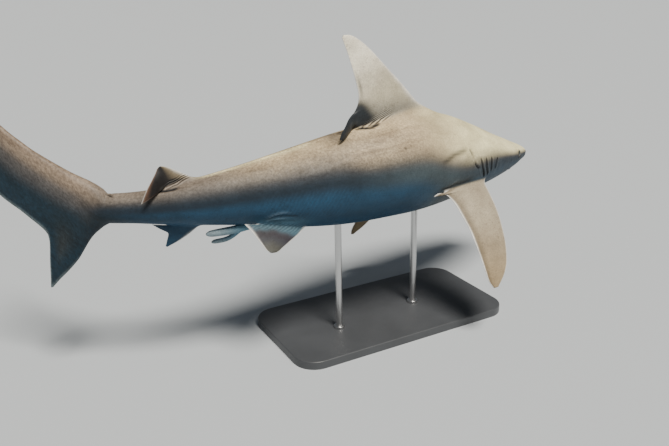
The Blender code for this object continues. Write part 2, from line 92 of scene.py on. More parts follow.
# ---- fins, with the outlines of the solids --------------------------------
# front, inner and rear are the edges, as station and height.  thickness is at the foot and at the tip.
# rise is how far up the front edge the foot and the free rear tip are.  turn is where the rear lobe
# begins to lean to the right, over what length, how far, and up to what height.
FIRST_DORSAL = {
    "front": ((0.250, 0.0770), (0.2600, 0.0801), (0.2712, 0.0852), (0.2822, 0.0919), (0.2930, 0.1003),
              (0.3035, 0.1100), (0.3235, 0.1290), (0.3423, 0.1456), (0.3602, 0.1621), (0.3772, 0.1777),
              (0.3934, 0.1901), (0.4013, 0.1949), (0.4090, 0.1979), (0.4185, 0.1984)),
    "inner": ((0.395, 0.0718), (0.4431, 0.0645)),
    "rear": ((0.4431, 0.0645), (0.4390, 0.0738), (0.4290, 0.0796), (0.4121, 0.0856), (0.4026, 0.0923),
             (0.3967, 0.1010), (0.3945, 0.1122), (0.3960, 0.1234), (0.3992, 0.1347), (0.4030, 0.1472),
             (0.4078, 0.1610), (0.4126, 0.1746), (0.4172, 0.1853), (0.4208, 0.1948)),
    "thickness": (0.0110, 0.0016),
    "rise": (0.20, 0.30),
    "turn": (0.397, 0.046, 0.030, 0.040),
}
SECOND_DORSAL = {
    "front": ((0.620, 0.0280), (0.6368, 0.0344), (0.6512, 0.0424), (0.6585, 0.0462), (0.6640, 0.0492),
              (0.6695, 0.0515), (0.6742, 0.0523)),
    "inner": ((0.672, 0.0262), (0.6999, 0.0132)),
    "rear": ((0.6999, 0.0132), (0.6955, 0.0235), (0.6920, 0.0303), (0.6862, 0.0383), (0.6812, 0.0455),
             (0.6793, 0.0490), (0.6768, 0.0514)),
    "thickness": (0.0046, 0.0012),
    "rise": (0.31, 0.60),
    "turn": (0.664, 0.034, 0.029, 0.030),
}
ANAL = {
    "front": ((0.620, -0.0190), (0.6336, -0.0320), (0.6460, -0.0415), (0.6597, -0.0497), (0.6765, -0.0575)),
    "inner": ((0.673, -0.0275), (0.6930, -0.0250)),
    "rear": ((0.6930, -0.0250), (0.6836, -0.0318), (0.6740, -0.0383), (0.6762, -0.0479), (0.6787, -0.0562)),
    "thickness": (0.0046, 0.0012),
    "rise": (0.31, 0.50),
    "turn": (0.672, 0.024, 0.000, 0.020),
}
# A paired fin's edges are its way back and out from its root, which is a station, a share of the
# half width and a height.  hang is, for the left (1) and the right (-1) one, the degrees it points below
# level, its rise along the root and its sweep back along its reach.  bow is the height and the reach
# of its arch.  flare is where the rear part begins to stand off, over what length and how far.
PECTORAL = {
    "root": (0.200, 0.90, -0.0240),
    "hang": {1: (56.0, 0.00, 0.08), -1: (56.0, 0.00, 0.0)},
    "bow": (0.006, 0.16),
    "flare": (0.076, 0.036, 0.0042),
    "front": ((-0.004, -0.045), (-0.0015, 0.000), (0.0002, 0.0223), (0.0022, 0.0462), (0.0085, 0.0785),
              (0.0191, 0.1155), (0.0285, 0.1348), (0.0394, 0.1471), (0.0570, 0.1600)),
    "inner": ((0.086, 0.0045), (0.1140, 0.0082)),
    "rear": ((0.1140, 0.0082), (0.1050, 0.0050), (0.0965, 0.0048), (0.0880, 0.0084), (0.0808, 0.0190),
             (0.0761, 0.0447), (0.0733, 0.0670), (0.0727, 0.0945), (0.0722, 0.1168), (0.0718, 0.1340),
             (0.0704, 0.1500), (0.0655, 0.1595)),
    "thickness": (0.0120, 0.0018),
    "rise": (0.222, 0.245),
}
PELVIC = {
    "root": (0.4955, 0.50, -0.0478),
    "hang": {1: (46.0, 0.22, 0.0), -1: (46.0, 0.22, 0.0)},
    "bow": (0.0, 0.042),
    "flare": (0.0, 1.0, 0.0),
    "front": ((-0.010, -0.022), (0.0045, 0.0060), (0.0310, 0.0268), (0.0440, 0.0360), (0.0495, 0.0401),
              (0.0540, 0.0423), (0.0588, 0.0430)),
    "inner": ((0.068, 0.0014), (0.0845, 0.0016)),
    "rear": ((0.0845, 0.0016), (0.0785, 0.0105), (0.0728, 0.0230), (0.0678, 0.0342), (0.0658, 0.0385),
             (0.0628, 0.0417)),
    "thickness": (0.0064, 0.0014),
    "rise": (0.31, 0.35),
}
EDGE = 0.0006                 # half thickness of a fin's thin rear edge, m
TAIL_BACK = ((0.7450, 0.0190), (0.7489, 0.0246), (0.7556, 0.0304), (0.7638, 0.0358), (0.7757, 0.0422),
             (0.7876, 0.0482), (0.7994, 0.0552), (0.8115, 0.0624), (0.8235, 0.0698), (0.8358, 0.0775),
             (0.8478, 0.0866), (0.8602, 0.0955), (0.8724, 0.1056), (0.9090, 0.1360), (0.9630, 0.1780))
LOWER_FRONT = ((0.7450, -0.0195), (0.7525, -0.0234), (0.7596, -0.0287), (0.7668, -0.0347),
               (0.7746, -0.0436), (0.7828, -0.0555), (0.7912, -0.0679), (0.8073, -0.0855),
               (0.8235, -0.1008), (0.8352, -0.1128))
LOWER_REAR = ((0.8352, -0.1128), (0.8376, -0.1138), (0.8370, -0.1050), (0.8359, -0.0949),
              (0.8333, -0.0730), (0.8307, -0.0558), (0.8296, -0.0440), (0.8305, -0.0365))
UPPER_REAR = ((0.8305, -0.0365), (0.8335, -0.0315), (0.8397, -0.0254), (0.8522, -0.0151),
              (0.8649, -0.0049), (0.8782, 0.0037), (0.8916, 0.0135), (0.9130, 0.0400),
              (0.9270, 0.0760), (0.9325, 0.1070))
END_LOBE = ((0.9325, 0.1070), (0.9345, 0.1090), (0.9510, 0.1215), (0.9690, 0.1385))
END_CUT = ((0.9690, 0.1385), (0.9628, 0.1575), (0.9640, 0.1765))
TAIL_POINT = (0.0004, 0.0016)   # how far the fin's tip stands out beyond the cut
TAIL_RUNS = ((LOWER_FRONT, 28, 0.00, 0.13), (LOWER_REAR, 19, 0.13, 0.22), (UPPER_REAR, 31, 0.22, 0.77),
             (END_LOBE, 9, 0.77, 0.93), (END_CUT, 6, 0.93, 1.00))   # edge, rows, span of the back
TAIL_CORE = (                 # span, half height and half width of the muscle along the back edge
    (0.00, 0.01925, 0.0157), (0.05, 0.0180, 0.0134), (0.15, 0.0160, 0.0101), (0.30, 0.0135, 0.0075),
    (0.50, 0.0110, 0.0054), (0.75, 0.0080, 0.0036), (1.00, 0.0050, 0.0022))
TAIL_WEB = (0.0026, 0.0004, 0.020)   # half thickness inside and at the rear edge, and how soon
LOWER_FRONT_ROUND = 0.004     # how soon the lower lobe's front edge is at its full thickness
TAIL_SKIRT = 3.2              # how far under the core it eases into the web, in half heights
CLASPERS = {                  # station, side and height of three points along each
    -1: ((0.560, -0.0110, -0.0385), (0.590, -0.0098, -0.0418), (0.6266, -0.0080, -0.0434)),
    1: ((0.560, 0.0110, -0.0400), (0.590, 0.0118, -0.0600), (0.6170, 0.0120, -0.0634)),
}
CLASPER_RADII = {             # at the shares of its length in CLASPER_KNOTS
    -1: (0.0048, 0.0052, 0.0054, 0.0052, 0.0046, 0.0036, 0.0014),
    1: (0.0044, 0.0038, 0.0034, 0.0033, 0.0031, 0.0025, 0.0011),
}
CLASPER_KNOTS = (0.0, 0.25, 0.50, 0.72, 0.86, 0.95, 1.0)
CLASPER_END = (0.90, 0.94, 0.97, 0.985, 0.995)   # the close rings at its rounded end
CLASPER_BEND = 8.0            # rings in which it turns from down to along the body
CLASPER_POINT = 0.0012        # how far its tip stands out behind the last ring, m
EYE_PLACE = (0.0725, 10.0)    # station, degrees up the cheek
EYE_RADIUS = 0.0165           # m
EYE_SINK = 0.0147             # how deep its centre lies under the cheek, m
EYE_PATCH = (0.0095, 8, 4)    # of the lids: half length, half width in columns, middle column on the left
# half opening of the lids in radians, how much less above and below, and how much less again below
LID_OPEN = (0.62, 0.07, 0.05)
# over the eyeball in m, and radians outside the opening, from the outer edge to the back
LID_STEPS = ((0.0020, 0.20), (0.0021, 0.12), (0.0019, 0.05), (0.0012, 0.00), (0.0005, 0.02),
             (0.0004, 0.14), (0.0006, 0.50), (0.0008, 1.00), (0.0008, 1.60), (0.0008, 2.20))
LID_EDGE = 2.5                # steps of LID_STEPS beyond this one are painted dark: painted shade where the lids turn in behind the eye

# ---- where fins, claspers and lids grow out of the rings -------------------
BODY, TAIL, DORSAL, SMALL_FIN, PECTORAL_FIN, PELVIC_FIN, CLASPER, LID = range(8)
# fin, region, stations of its foot, columns, rows of its inner and outer part, sides (0 on the middle line)
FINS = (
    (FIRST_DORSAL, DORSAL, (0.240, 0.402), (31, 41), (14, 34), (0,)),
    (SECOND_DORSAL, SMALL_FIN, (0.622, 0.680), (31, 41), (10, 15), (0,)),
    (ANAL, SMALL_FIN, (0.622, 0.679), (103, 113), (9, 18), (0,)),
    (PECTORAL, PECTORAL_FIN, (0.1915, 0.293), (129, 137), (8, 42), (1, -1)),
    (PELVIC, PELVIC_FIN, (0.488, 0.5655), (118, 127), (7, 20), (1, -1)),
)
CLASPER_FOOT = ((0.5600, 0.5745), (111, 116))   # stations, columns of the left one
FOOT = 0.5                    # added to the region in the rows that blend a growth into the body
FIN_FILLET = 4                # such rows at the foot of a fin


# ---- curves ---------------------------------------------------------------
def smooth(knots, values, where):
    """Cubic curve through values at knots, with centred slopes."""
    knots = np.asarray(knots, float)
    values = np.asarray(values, float)
    where = np.asarray(where, float)
    slopes = np.gradient(values, knots)
    left = np.clip(np.searchsorted(knots, where, side="right") - 1, 0, len(knots) - 2)
    span = knots[left + 1] - knots[left]
    t = (where - knots[left]) / span
    rise = 3 * t ** 2 - 2 * t ** 3
    start = (t ** 3 - 2 * t ** 2 + t) * span * slopes[left]
    stop = (t ** 3 - t ** 2) * span * slopes[left + 1]
    return values[left] * (1 - rise) + values[left + 1] * rise + start + stop


def straight(knots, values, where):
    """Straight runs through values at knots."""
    return np.interp(where, knots, values)


def along(points, share, trace=smooth):
    """Points at the given shares of the length of a curve through points."""
    points = np.asarray(points, float)
    steps = np.linalg.norm(np.diff(points, axis=0), axis=1)
    knots = np.concatenate([[0.0], np.cumsum(steps)]) / steps.sum()
    return np.column_stack([trace(knots, column, share) for column in points.T])


def ramp(value, begin=0.0, run=1.0):
    """Smooth step from 0 at begin to 1 when run is passed; run may be negative."""
    value = np.clip((value - begin) / run, 0.0, 1.0)
    return value * value * (3.0 - 2.0 * value)


def hill(value, top, width):
    """Bell curve: 1 at the top, about a third at a width from it."""
    return np.exp(-((value - top) / width) ** 2)


def ease_ends(walk, ends):
    """1 along a path that goes from 0 to 1, easing to 0 over a share of it at both ends."""
    return ramp(walk, 0.0, ends) * ramp(walk, 1.0, -ends)


def round_front(share):
    """Quarter circle: 0 at 0, 1 from 1 on."""
    return np.sqrt(1.0 - (1.0 - np.clip(share, 0.0, 1.0)) ** 2)


def unit(vectors):
    """Vectors of length one."""
    return vectors / np.maximum(np.linalg.norm(vectors, axis=-1, keepdims=True), 1e-9)


# ---- the curved spine -----------------------------------------------------
def axes(station):
    """Forward, left and up directions of the body at a station."""
    station = np.asarray(station, float)
    heading = np.radians(smooth(*zip(*HEADING), station))
    pitch = np.radians(smooth(*zip(*PITCH), station))
    level = np.cos(pitch)
    forward = np.stack([np.cos(heading) * level, np.sin(heading) * level, np.sin(pitch)], -1)
    left = np.stack([-np.sin(heading), np.cos(heading), 0.0 * heading], -1)
    return forward, left, np.cross(forward, left)


def trace_spine(steps=500):
    """Stations and world points of the spine, in metres."""
    stations = np.linspace(0.0, 1.0, steps + 1)
    middles = (stations[1:] + stations[:-1]) / 2
    hops = -axes(middles)[0] * LENGTH / steps
    points = np.vstack([np.zeros(3), np.cumsum(hops, axis=0)])
    hub = np.array([np.interp(HUB, stations, column) for column in points.T])
    return stations, points - hub + HUB_PLACE


SPINE_STATIONS, SPINE_POINTS = trace_spine()
TURNS = 2 * math.pi * np.arange(COLUMNS) / COLUMNS   # of the columns, counted as in on_body


def place(station, side, height):
    """World points from a station, a distance to the left and one up, as shares of LENGTH."""
    station, side, height = np.broadcast_arrays(*(np.asarray(v, float) for v in (station, side, height)))
    base = np.stack([np.interp(station, SPINE_STATIONS, column) for column in SPINE_POINTS.T], -1)
    left, up = axes(station)[1:]
    return base + LENGTH * (side[..., None] * left + height[..., None] * up)


def girth(station):
    """Back height, belly depth and half width of the body at a station."""
    columns = np.array(GIRTHS).T
    blunt = round_front(station / NOSE)
    return [smooth(columns[0], column, station) * blunt for column in columns[1:]]


def on_body(station, turn):
    """World points on the body; turn is in radians, 0 at the left flank and a quarter turn on the back."""
    station, turn = np.broadcast_arrays(np.asarray(station, float), np.asarray(turn, float))
    back, belly, half = girth(station)
    begin, run = HEAD_FLAT_SPAN
    flat = 1.0 / (1.0 + HEAD_FLATNESS * ramp(station, begin, -run))
    power = np.where(np.sin(turn) < 0.0, flat, 1.0)
    out = np.sign(np.cos(turn)) * np.abs(np.cos(turn)) ** power
    rise = np.sign(np.sin(turn)) * np.abs(np.sin(turn)) ** power
    return place(station, half * out, np.where(rise > 0.0, back, belly) * rise)


def body_normal(station, turn):
    """Outward directions of the smooth body."""
    ahead = on_body(station - 0.002, turn) - on_body(station + 0.002, turn)
    round_it = on_body(station, turn + 0.01) - on_body(station, turn - 0.01)
    return unit(np.cross(ahead, round_it))


# ---- the weave: points and faces of one closed skin -----------------------
class Weave:
    """Gathers the points, faces and painted values of the skin, beginning with the body's rings."""

    def __init__(self):
        self.points = []
        self.values = []
        self.faces = []
        self.total = 0
        self.stations = body_stations()
        self.taken = np.zeros((len(self.stations) - 1, COLUMNS), bool)
        turn = np.broadcast_to(TURNS, (len(self.stations), COLUMNS))
        station = self.stations[:, None]
        self.grid = self.add(on_body(station, TURNS[None, :]), BODY, station, turn)

    def add(self, points, region, station, share):
        """Add points; returns their numbers, in the same shape as the points."""
        points = np.asarray(points, float)
        count = points[..., 0].size
        numbers = np.arange(self.total, self.total + count).reshape(points.shape[:-1])
        self.points.append(points.reshape(-1, 3))
        rows = [np.broadcast_to(v, points.shape[:-1]).reshape(-1) for v in (region, station, share)]
        self.values.append(np.column_stack(rows).astype(float))
        self.total += count
        return numbers

    def band(self, first, second):
        """Quads between two closed loops of equal count."""
        follow = np.roll(first, -1)
        beyond = np.roll(second, -1)
        self.faces += np.column_stack([first, follow, beyond, second]).tolist()

    def grow(self, last, points, region, station, share):
        """Add a closed loop and join it to the last one; returns its numbers."""
        numbers = self.add(points, region, station, share)
        self.band(last, numbers)
        return numbers

    def cap(self, loop, middle):
        """A fan from a loop to one point."""
        follow = np.roll(loop, -1)
        self.faces += [[a, b, middle] for a, b in zip(loop.tolist(), follow.tolist())]

    def zip_shut(self, loop, across, length):
        """Close a flat loop: two ends of `across` steps and two sides of `length` steps."""
        right = loop[across:across + length + 1]
        left = np.append(loop[2 * across + length:], loop[0])[::-1]
        for k in range(length):
            self.faces.append([int(right[k]), int(right[k + 1]), int(left[k + 1]), int(left[k])])
        self.faces.append([int(v) for v in loop[:across + 1]])
        self.faces.append([int(v) for v in loop[across + length:2 * across + length + 1]])

    def open_patch(self, ends, columns):
        """Take a patch off the body: its rows, and the numbers, places and outward directions at its edge."""
        rows = tuple(int(np.argmin(np.abs(self.stations - end))) for end in ends)
        wide = np.arange(columns[0], columns[1]) % COLUMNS
        self.taken[np.ix_(np.arange(rows[0], rows[1]), wide)] = True
        loop = loop_of(self.grid, rows, columns)
        normal = body_normal(self.stations[loop // COLUMNS], TURNS[loop % COLUMNS])
        return rows, loop, np.vstack(self.points)[loop], normal


def body_stations():
    """Stations of the rings, close together on the snout and at the gills."""
    turn = np.linspace(0.0, math.pi / 2, 31)[1:-1]
    snout = NOSE * (1.0 - np.cos(turn))
    knots, gaps = np.array(SPACING).T
    fine = np.linspace(NOSE, BODY_END, 4000)
    rate = LENGTH * 1000.0 / np.interp(fine, knots, gaps)
    count = np.concatenate([[0.0], np.cumsum((rate[1:] + rate[:-1]) / 2 * np.diff(fine))])
    rows = int(round(count[-1]))
    return np.concatenate([snout, np.interp(np.linspace(0.0, count[-1], rows + 1), count, fine)])


def tail_core(span):
    """Half height and half width of the backbone's core at a share of the tail fin."""
    spans, tall, wide = zip(*TAIL_CORE)
    return smooth(spans, tall, span), smooth(spans, wide, span)


def off_edge(points, edge):
    """Distance of flat points from an edge through given points, as shares of LENGTH."""
    line = along(edge, np.linspace(0.0, 1.0, 40))
    begin, run = line[:-1], np.diff(line, axis=0)
    reach = points[:, None, :] - begin[None]
    at = np.clip(np.sum(reach * run, axis=2) / np.sum(run * run, axis=1), 0.0, 1.0)
    return np.linalg.norm(reach - at[..., None] * run, axis=2).min(axis=1)


def tail_web(points):
    """Half thickness of the web: thin at the rear edges, rounded at the front of the lower lobe."""
    inside, thin, soon = TAIL_WEB
    rear = np.min([off_edge(points, edge) for edge in (LOWER_REAR, UPPER_REAR, END_LOBE, END_CUT)], axis=0)
    front = off_edge(points, LOWER_FRONT)
    body = thin + (inside - thin) * (1.0 - np.exp(-rear / soon))
    return body * round_front(front / LOWER_FRONT_ROUND)


def tail_profile(flat, depth, length, span):
    """Half thickness of the tail fin at depths under its back edge."""
    tall, wide = tail_core(span)
    upper = np.sqrt(np.clip(1.0 - (1.0 - depth / tall) ** 2, 0.0, 1.0))
    reach = min(length - tall, TAIL_SKIRT * tall)
    below = np.clip((depth - tall) / reach, 0.0, 1.0)
    easy = ramp(span, 0.0, 0.10)
    lower = (1.0 - easy) * np.sqrt(1.0 - below ** 2) + easy * (1.0 + np.cos(math.pi * below)) / 2
    core = np.where(depth < tall, upper, lower)
    web = tail_web(flat) * ramp(span, 0.0, 0.05)
    web = web * np.sqrt(np.clip(depth / tall, 0.0, 1.0))
    return web + (wide - web) * core


def tail_row(top, low, span):
    """One closed ring across the tail fin, in the column order of the body's rings, and how deep it is."""
    length = math.hypot(*(low - top))
    depth = length * (1.0 - np.cos(np.linspace(0.0, math.pi, 300))) / 2
    thick = tail_profile(top + (low - top) * (depth / length)[:, None], depth, length, span)
    walk = np.concatenate([[0.0], np.cumsum(np.hypot(np.diff(depth), np.diff(thick)))])
    fold = np.abs((TURNS - math.pi / 2 + math.pi) % (2 * math.pi) - math.pi) / math.pi
    at = np.interp(fold * walk[-1], walk, depth)
    side = np.where(np.cos(TURNS) > 0.0, 1.0, -1.0) * np.interp(at, depth, thick)
    side[fold > 0.999] = 0.0
    flat = top + (low - top) * (at / length)[:, None]
    return place(flat[:, 0], side, flat[:, 1]), at / length


def fin_sections(fin, rows, steps, caps, sign):
    """Ends and spans of a fin's rows, and the shares along the chord and thickness signs in loop order."""
    inner, outer = rows
    inside = np.linspace(0.0, 1.0, inner + 1)
    outside = 1.0 - (1.0 - np.linspace(0.0, 1.0, outer + 1)[1:]) ** 1.25
    base, free = fin["rise"]
    facing = base + (free - base) * inside
    spans = np.concatenate([facing, free + (1.0 - free) * outside])
    front = along(fin["front"], spans)
    rear = np.vstack([along(fin["inner"], inside, straight), along(fin["rear"], outside)])
    nose = np.linspace(-1.0, 1.0, caps + 1)
    chord = (1.0 - np.cos(np.linspace(0.12, math.pi, steps + 1))) / 2
    start = chord[0]
    share = np.concatenate([start * nose ** 2, chord[1:], np.ones(caps - 1), chord[:0:-1]])
    side = np.concatenate([-np.sign(nose), -np.ones(steps), np.linspace(-1.0, 1.0, caps + 1)[1:-1],
                           np.ones(steps)])
    return front, rear, spans, share, side * sign


def foil(share):
    """Half thickness of a fin along its chord: round in front, thin behind; 1 at its thickest."""
    return (0.2969 * np.sqrt(share) - 0.1260 * share - 0.3516 * share ** 2
            + 0.2843 * share ** 3 - 0.1036 * share ** 4) / 0.1


def on_middle(fin):
    """Placing function of a fin that stands on the middle line."""
    begin, run, turn, depth = fin["turn"]

    def locate(station, height, side):
        foot = np.abs(height) - np.abs(fin["inner"][0][1])
        lean = -turn * ramp(station, begin, run) * ramp(1.0 - foot / depth)
        return place(station, side + lean, height)
    return locate


def on_side(fin, side):
    """Placing function of a paired fin that follows the flank; side is +1 for the left one."""
    start, share, height = fin["root"]
    droop, rise, sweep = fin["hang"][side]
    bow, span = fin["bow"]
    begin, run, flare = fin["flare"]
    half = girth(start)[2]
    tilt = math.radians(droop)

    def locate(back, out, thick):
        station = start + back + sweep * out
        base = place(station, side * share * half, height + rise * back)
        left, up = axes(station)[1:]
        outward = math.cos(tilt) * side * left - math.sin(tilt) * up
        normal = math.sin(tilt) * side * left + math.cos(tilt) * up
        arch = bow * np.sin(math.pi * np.clip(out / span, 0.0, 1.0)) + flare * ramp(back, begin, run)
        return base + LENGTH * (out[..., None] * outward + (thick + arch)[..., None] * normal)
    return locate


def loop_of(numbers, rows, columns):
    """Numbers round a patch of the grid: along its front, down its far side and back."""
    top, bottom = rows
    first, last = columns
    wide = np.arange(first, last + 1) % COLUMNS
    tall = np.arange(top, bottom + 1)
    return np.concatenate([numbers[top, wide[:-1]], numbers[tall[:-1], wide[-1]],
                           numbers[bottom, wide[:0:-1]], numbers[tall[:0:-1], wide[0]]])


def fillet(edge, normal, first, second, count):
    """Loops that curve from a patch's edge into the first loop of what grows there."""
    reach = first - edge
    size = np.linalg.norm(reach, axis=1, keepdims=True)
    leave = unit(reach - normal * np.sum(reach * normal, axis=1, keepdims=True)) * size
    arrive = unit(second - first) * size
    loops = []
    for t in np.arange(1, count + 1) / (count + 1.0):
        rise = 3 * t ** 2 - 2 * t ** 3
        loops.append(edge * (1 - rise) + first * rise + leave * (t ** 3 - 2 * t ** 2 + t)
                     + arrive * (t ** 3 - t ** 2))
    return loops


# ---- growing fins, claspers and lids --------------------------------------
def mirrored(columns, side):
    """Columns of a patch on the left side, or of its mirror image on the right."""
    return tuple((COLUMNS // 2 - column) % COLUMNS for column in columns[::-1]) if side < 0 else columns


def grow_fin(weave, fin, region, ends, columns, counts, side):
    """One fin on a patch of the body, blended into it."""
    rows, loop, edge, normal = weave.open_patch(ends, columns)
    steps, caps = rows[1] - rows[0], columns[1] - columns[0]
    locate = on_side(fin, side) if side else on_middle(fin)
    sign = -side if side else np.sign(fin["front"][0][1])
    front, rear, spans, share, faces = fin_sections(fin, counts, steps, caps, sign)
    root, tip = fin["thickness"]
    loops = []
    for fore, aft, span in zip(front, rear, spans):
        flat = fore + (aft - fore) * share[:, None]
        thick = ((root + (tip - root) * span) * foil(share) / 2 + EDGE / LENGTH * np.sqrt(share)) * faces
        loops.append(locate(flat[:, 0], flat[:, 1], thick))
    for count, points in enumerate(fillet(edge, normal, loops[0], loops[1], FIN_FILLET)):
        loop = weave.grow(loop, points, region + FOOT, spans[0] * (count + 1) / (FIN_FILLET + 1.0), share)
    for points, span in zip(loops, spans):
        loop = weave.grow(loop, points, region, span, share)
    weave.zip_shut(loop, caps, steps)


def grow_clasper(weave, side):
    """One clasper: a tapering rod that leaves the belly and bends back, rounded at its tip."""
    ends, columns = CLASPER_FOOT
    loop, edge, normal = weave.open_patch(ends, mirrored(columns, side))[1:]
    shares = np.concatenate([np.linspace(0.0, 0.86, 26), CLASPER_END])
    path = np.column_stack([smooth((0.0, 0.5, 1.0), column, shares) for column in zip(*CLASPERS[side])])
    radii = smooth(CLASPER_KNOTS, CLASPER_RADII[side], shares)
    heart = edge.mean(axis=0)
    forward, left = axes(path[0, 0])[:2]
    angle = np.arctan2((edge - heart) @ left, (edge - heart) @ -forward)
    loops = []
    for count, (centre, station, radius) in enumerate(zip(place(*path.T), path[:, 0], radii)):
        forward, left, up = axes(station)
        bend = ramp(count, 0.0, CLASPER_BEND)
        lift = unit(bend * up - (1.0 - bend) * forward)
        circle = np.outer(np.sin(angle), left) + np.outer(np.cos(angle), lift)
        loops.append(centre + circle * radius * LENGTH)
    for points in fillet(edge, normal, loops[2], loops[3], 3):
        loop = weave.grow(loop, points, CLASPER + FOOT, 0.0, 0.0)
    for points, share in zip(loops[2:], shares[2:]):
        loop = weave.grow(loop, points, CLASPER, share, np.cos(angle))
    tip = weave.add(place(*path[-1]) - axes(path[-1, 0])[0] * CLASPER_POINT, CLASPER, 1.0, 0.0)
    weave.cap(loop, int(tip))


def eye_frame(side):
    """Centre of the eyeball, and its outward, forward and upward directions."""
    station, rise = EYE_PLACE
    turn = math.radians(rise if side > 0 else 180.0 - rise)
    forward, left = axes(station)[:2]
    out = body_normal(station, turn)
    out = out * np.sign(side * (out @ left))
    ahead = unit(forward - out * (forward @ out))
    return on_body(station, turn) - out * EYE_SINK, out, ahead, np.cross(ahead, out) * -side


def grow_lids(weave, side):
    """Lids that rise from the cheek on to the eyeball, and the socket behind them."""
    reach, wide, column = EYE_PATCH
    station = EYE_PLACE[0]
    columns = mirrored((column - wide, column + wide), side)
    loop, edge, normal = weave.open_patch((station - reach, station + reach), columns)[1:]
    centre, out, ahead, up = eye_frame(side)
    angle = np.arctan2((edge - centre) @ up, (edge - centre) @ ahead)
    rise = np.sin(angle)
    opening = LID_OPEN[0] - LID_OPEN[1] * rise ** 2 - LID_OPEN[2] * np.clip(-rise, 0.0, 1.0) ** 2
    round_it = np.outer(np.cos(angle), ahead) + np.outer(rise, up)
    rings = []
    for more, wider in LID_STEPS:
        tilt = opening + wider
        spoke = np.cos(tilt)[:, None] * out + np.sin(tilt)[:, None] * round_it
        rings.append(centre + (EYE_RADIUS + more) * spoke)
    for points in fillet(edge, normal, rings[0], rings[1], 5):
        loop = weave.grow(loop, points, LID + FOOT, 0.0, 0.0)
    for count, points in enumerate(rings):
        loop = weave.grow(loop, points, LID, count, rise)
    tip = weave.add(centre - out * (EYE_RADIUS + LID_STEPS[-1][0]), LID, len(rings), 0.0)
    weave.cap(loop, int(tip))


def weave_skin():
    """The whole skin before its creases: points, faces and painted values."""
    weave = Weave()
    grid = weave.grid
    tail = [grid[-1]]
    for edge, count, first, last in TAIL_RUNS:
        steps = np.linspace(0.0, 1.0, count + 1)[1:]
        spans = first + (last - first) * steps
        for top, low, span in zip(along(TAIL_BACK, spans), along(edge, steps), spans):
            points, depth = tail_row(top, low, span)
            tail.append(weave.add(points, TAIL, span, depth))
    for fin, region, ends, columns, counts, sides in FINS:
        for side in sides:
            grow_fin(weave, fin, region, ends, mirrored(columns, side), counts, side)
    for grow in (grow_clasper, grow_lids):
        for side in (1, -1):
            grow(weave, side)
    follow = np.roll(grid, -1, axis=1)
    cells = np.stack([grid[:-1], follow[:-1], follow[1:], grid[1:]], axis=-1)
    weave.faces += cells[~weave.taken].tolist()
    for near, far in zip(tail, tail[1:]):
        weave.band(near, far)
    nose = weave.add(place(0.0, 0.0, 0.0), BODY, 0.0, 0.0)
    weave.cap(grid[0][::-1], int(nose))
    station, height = np.add(END_CUT[-1], TAIL_POINT)
    tip = weave.add(place(station, 0.0, height), TAIL, 1.0, 0.5)
    weave.cap(tail[-1], int(tip))
    used = np.zeros(weave.total, bool)
    used[[corner for face in weave.faces for corner in face]] = True
    fresh = np.cumsum(used) - 1
    faces = [[int(fresh[corner]) for corner in face[::-1]] for face in weave.faces]
    return np.vstack(weave.points)[used], np.vstack(weave.values)[used], faces


# ---- creases, folds and openings in the skin ------------------------------
# A soft groove: width and depth in m, darkness (painted shade in it), paleness (painted highlight), share of
# its length over which it ends, height of the lip beside it in m, paleness of that lip (painted highlight).
# A ridge has a negative depth.
NOSTRIL_CUT = (0.0030, 0.0060, 0.95, 0.0, 0.2, 0.0012)
LIP_FURROW_CUT = (0.0030, 0.0025, 0.5, 0.0, 0.3)
MOUTH_CUT = (0.0034, 0.0065, 1.0, 0.0, 0.03, 0.0014)
BACK_RIDGE_CUT = (0.0040, -0.0016, 0.0, 0.10, 0.06)
PIT_CUT = (0.0030, 0.0045, 0.95, 0.0, 0.25, 0.0006)
FOLD_ENDS = 0.25              # share of a fold over which it ends
FOLD_LIP = (0.35, 0.20)       # of the folds on the back: height against the depth, paleness (painted highlight on the lip)
# across a gill slit: place behind its line and half width in m; then height or depth in m, or strength
GILL_FLAP = (-0.0042, 0.0030, 0.0018)
GILL_GAPE = (0.0008, 0.0016, 0.0050)
# the shade is painted shade in the opening, the glow a painted highlight on the flap's edge
GILL_SHADE = (0.0010, 0.0020, 3.0)
GILL_GLOW = (-0.0046, 0.0019, 0.30)
GILL_ENDS = (0.14, 0.004)     # share of a slit over which it ends, and how far beyond its tips, m
GILL_REACH = 0.014            # how far from its line the skin takes part, m


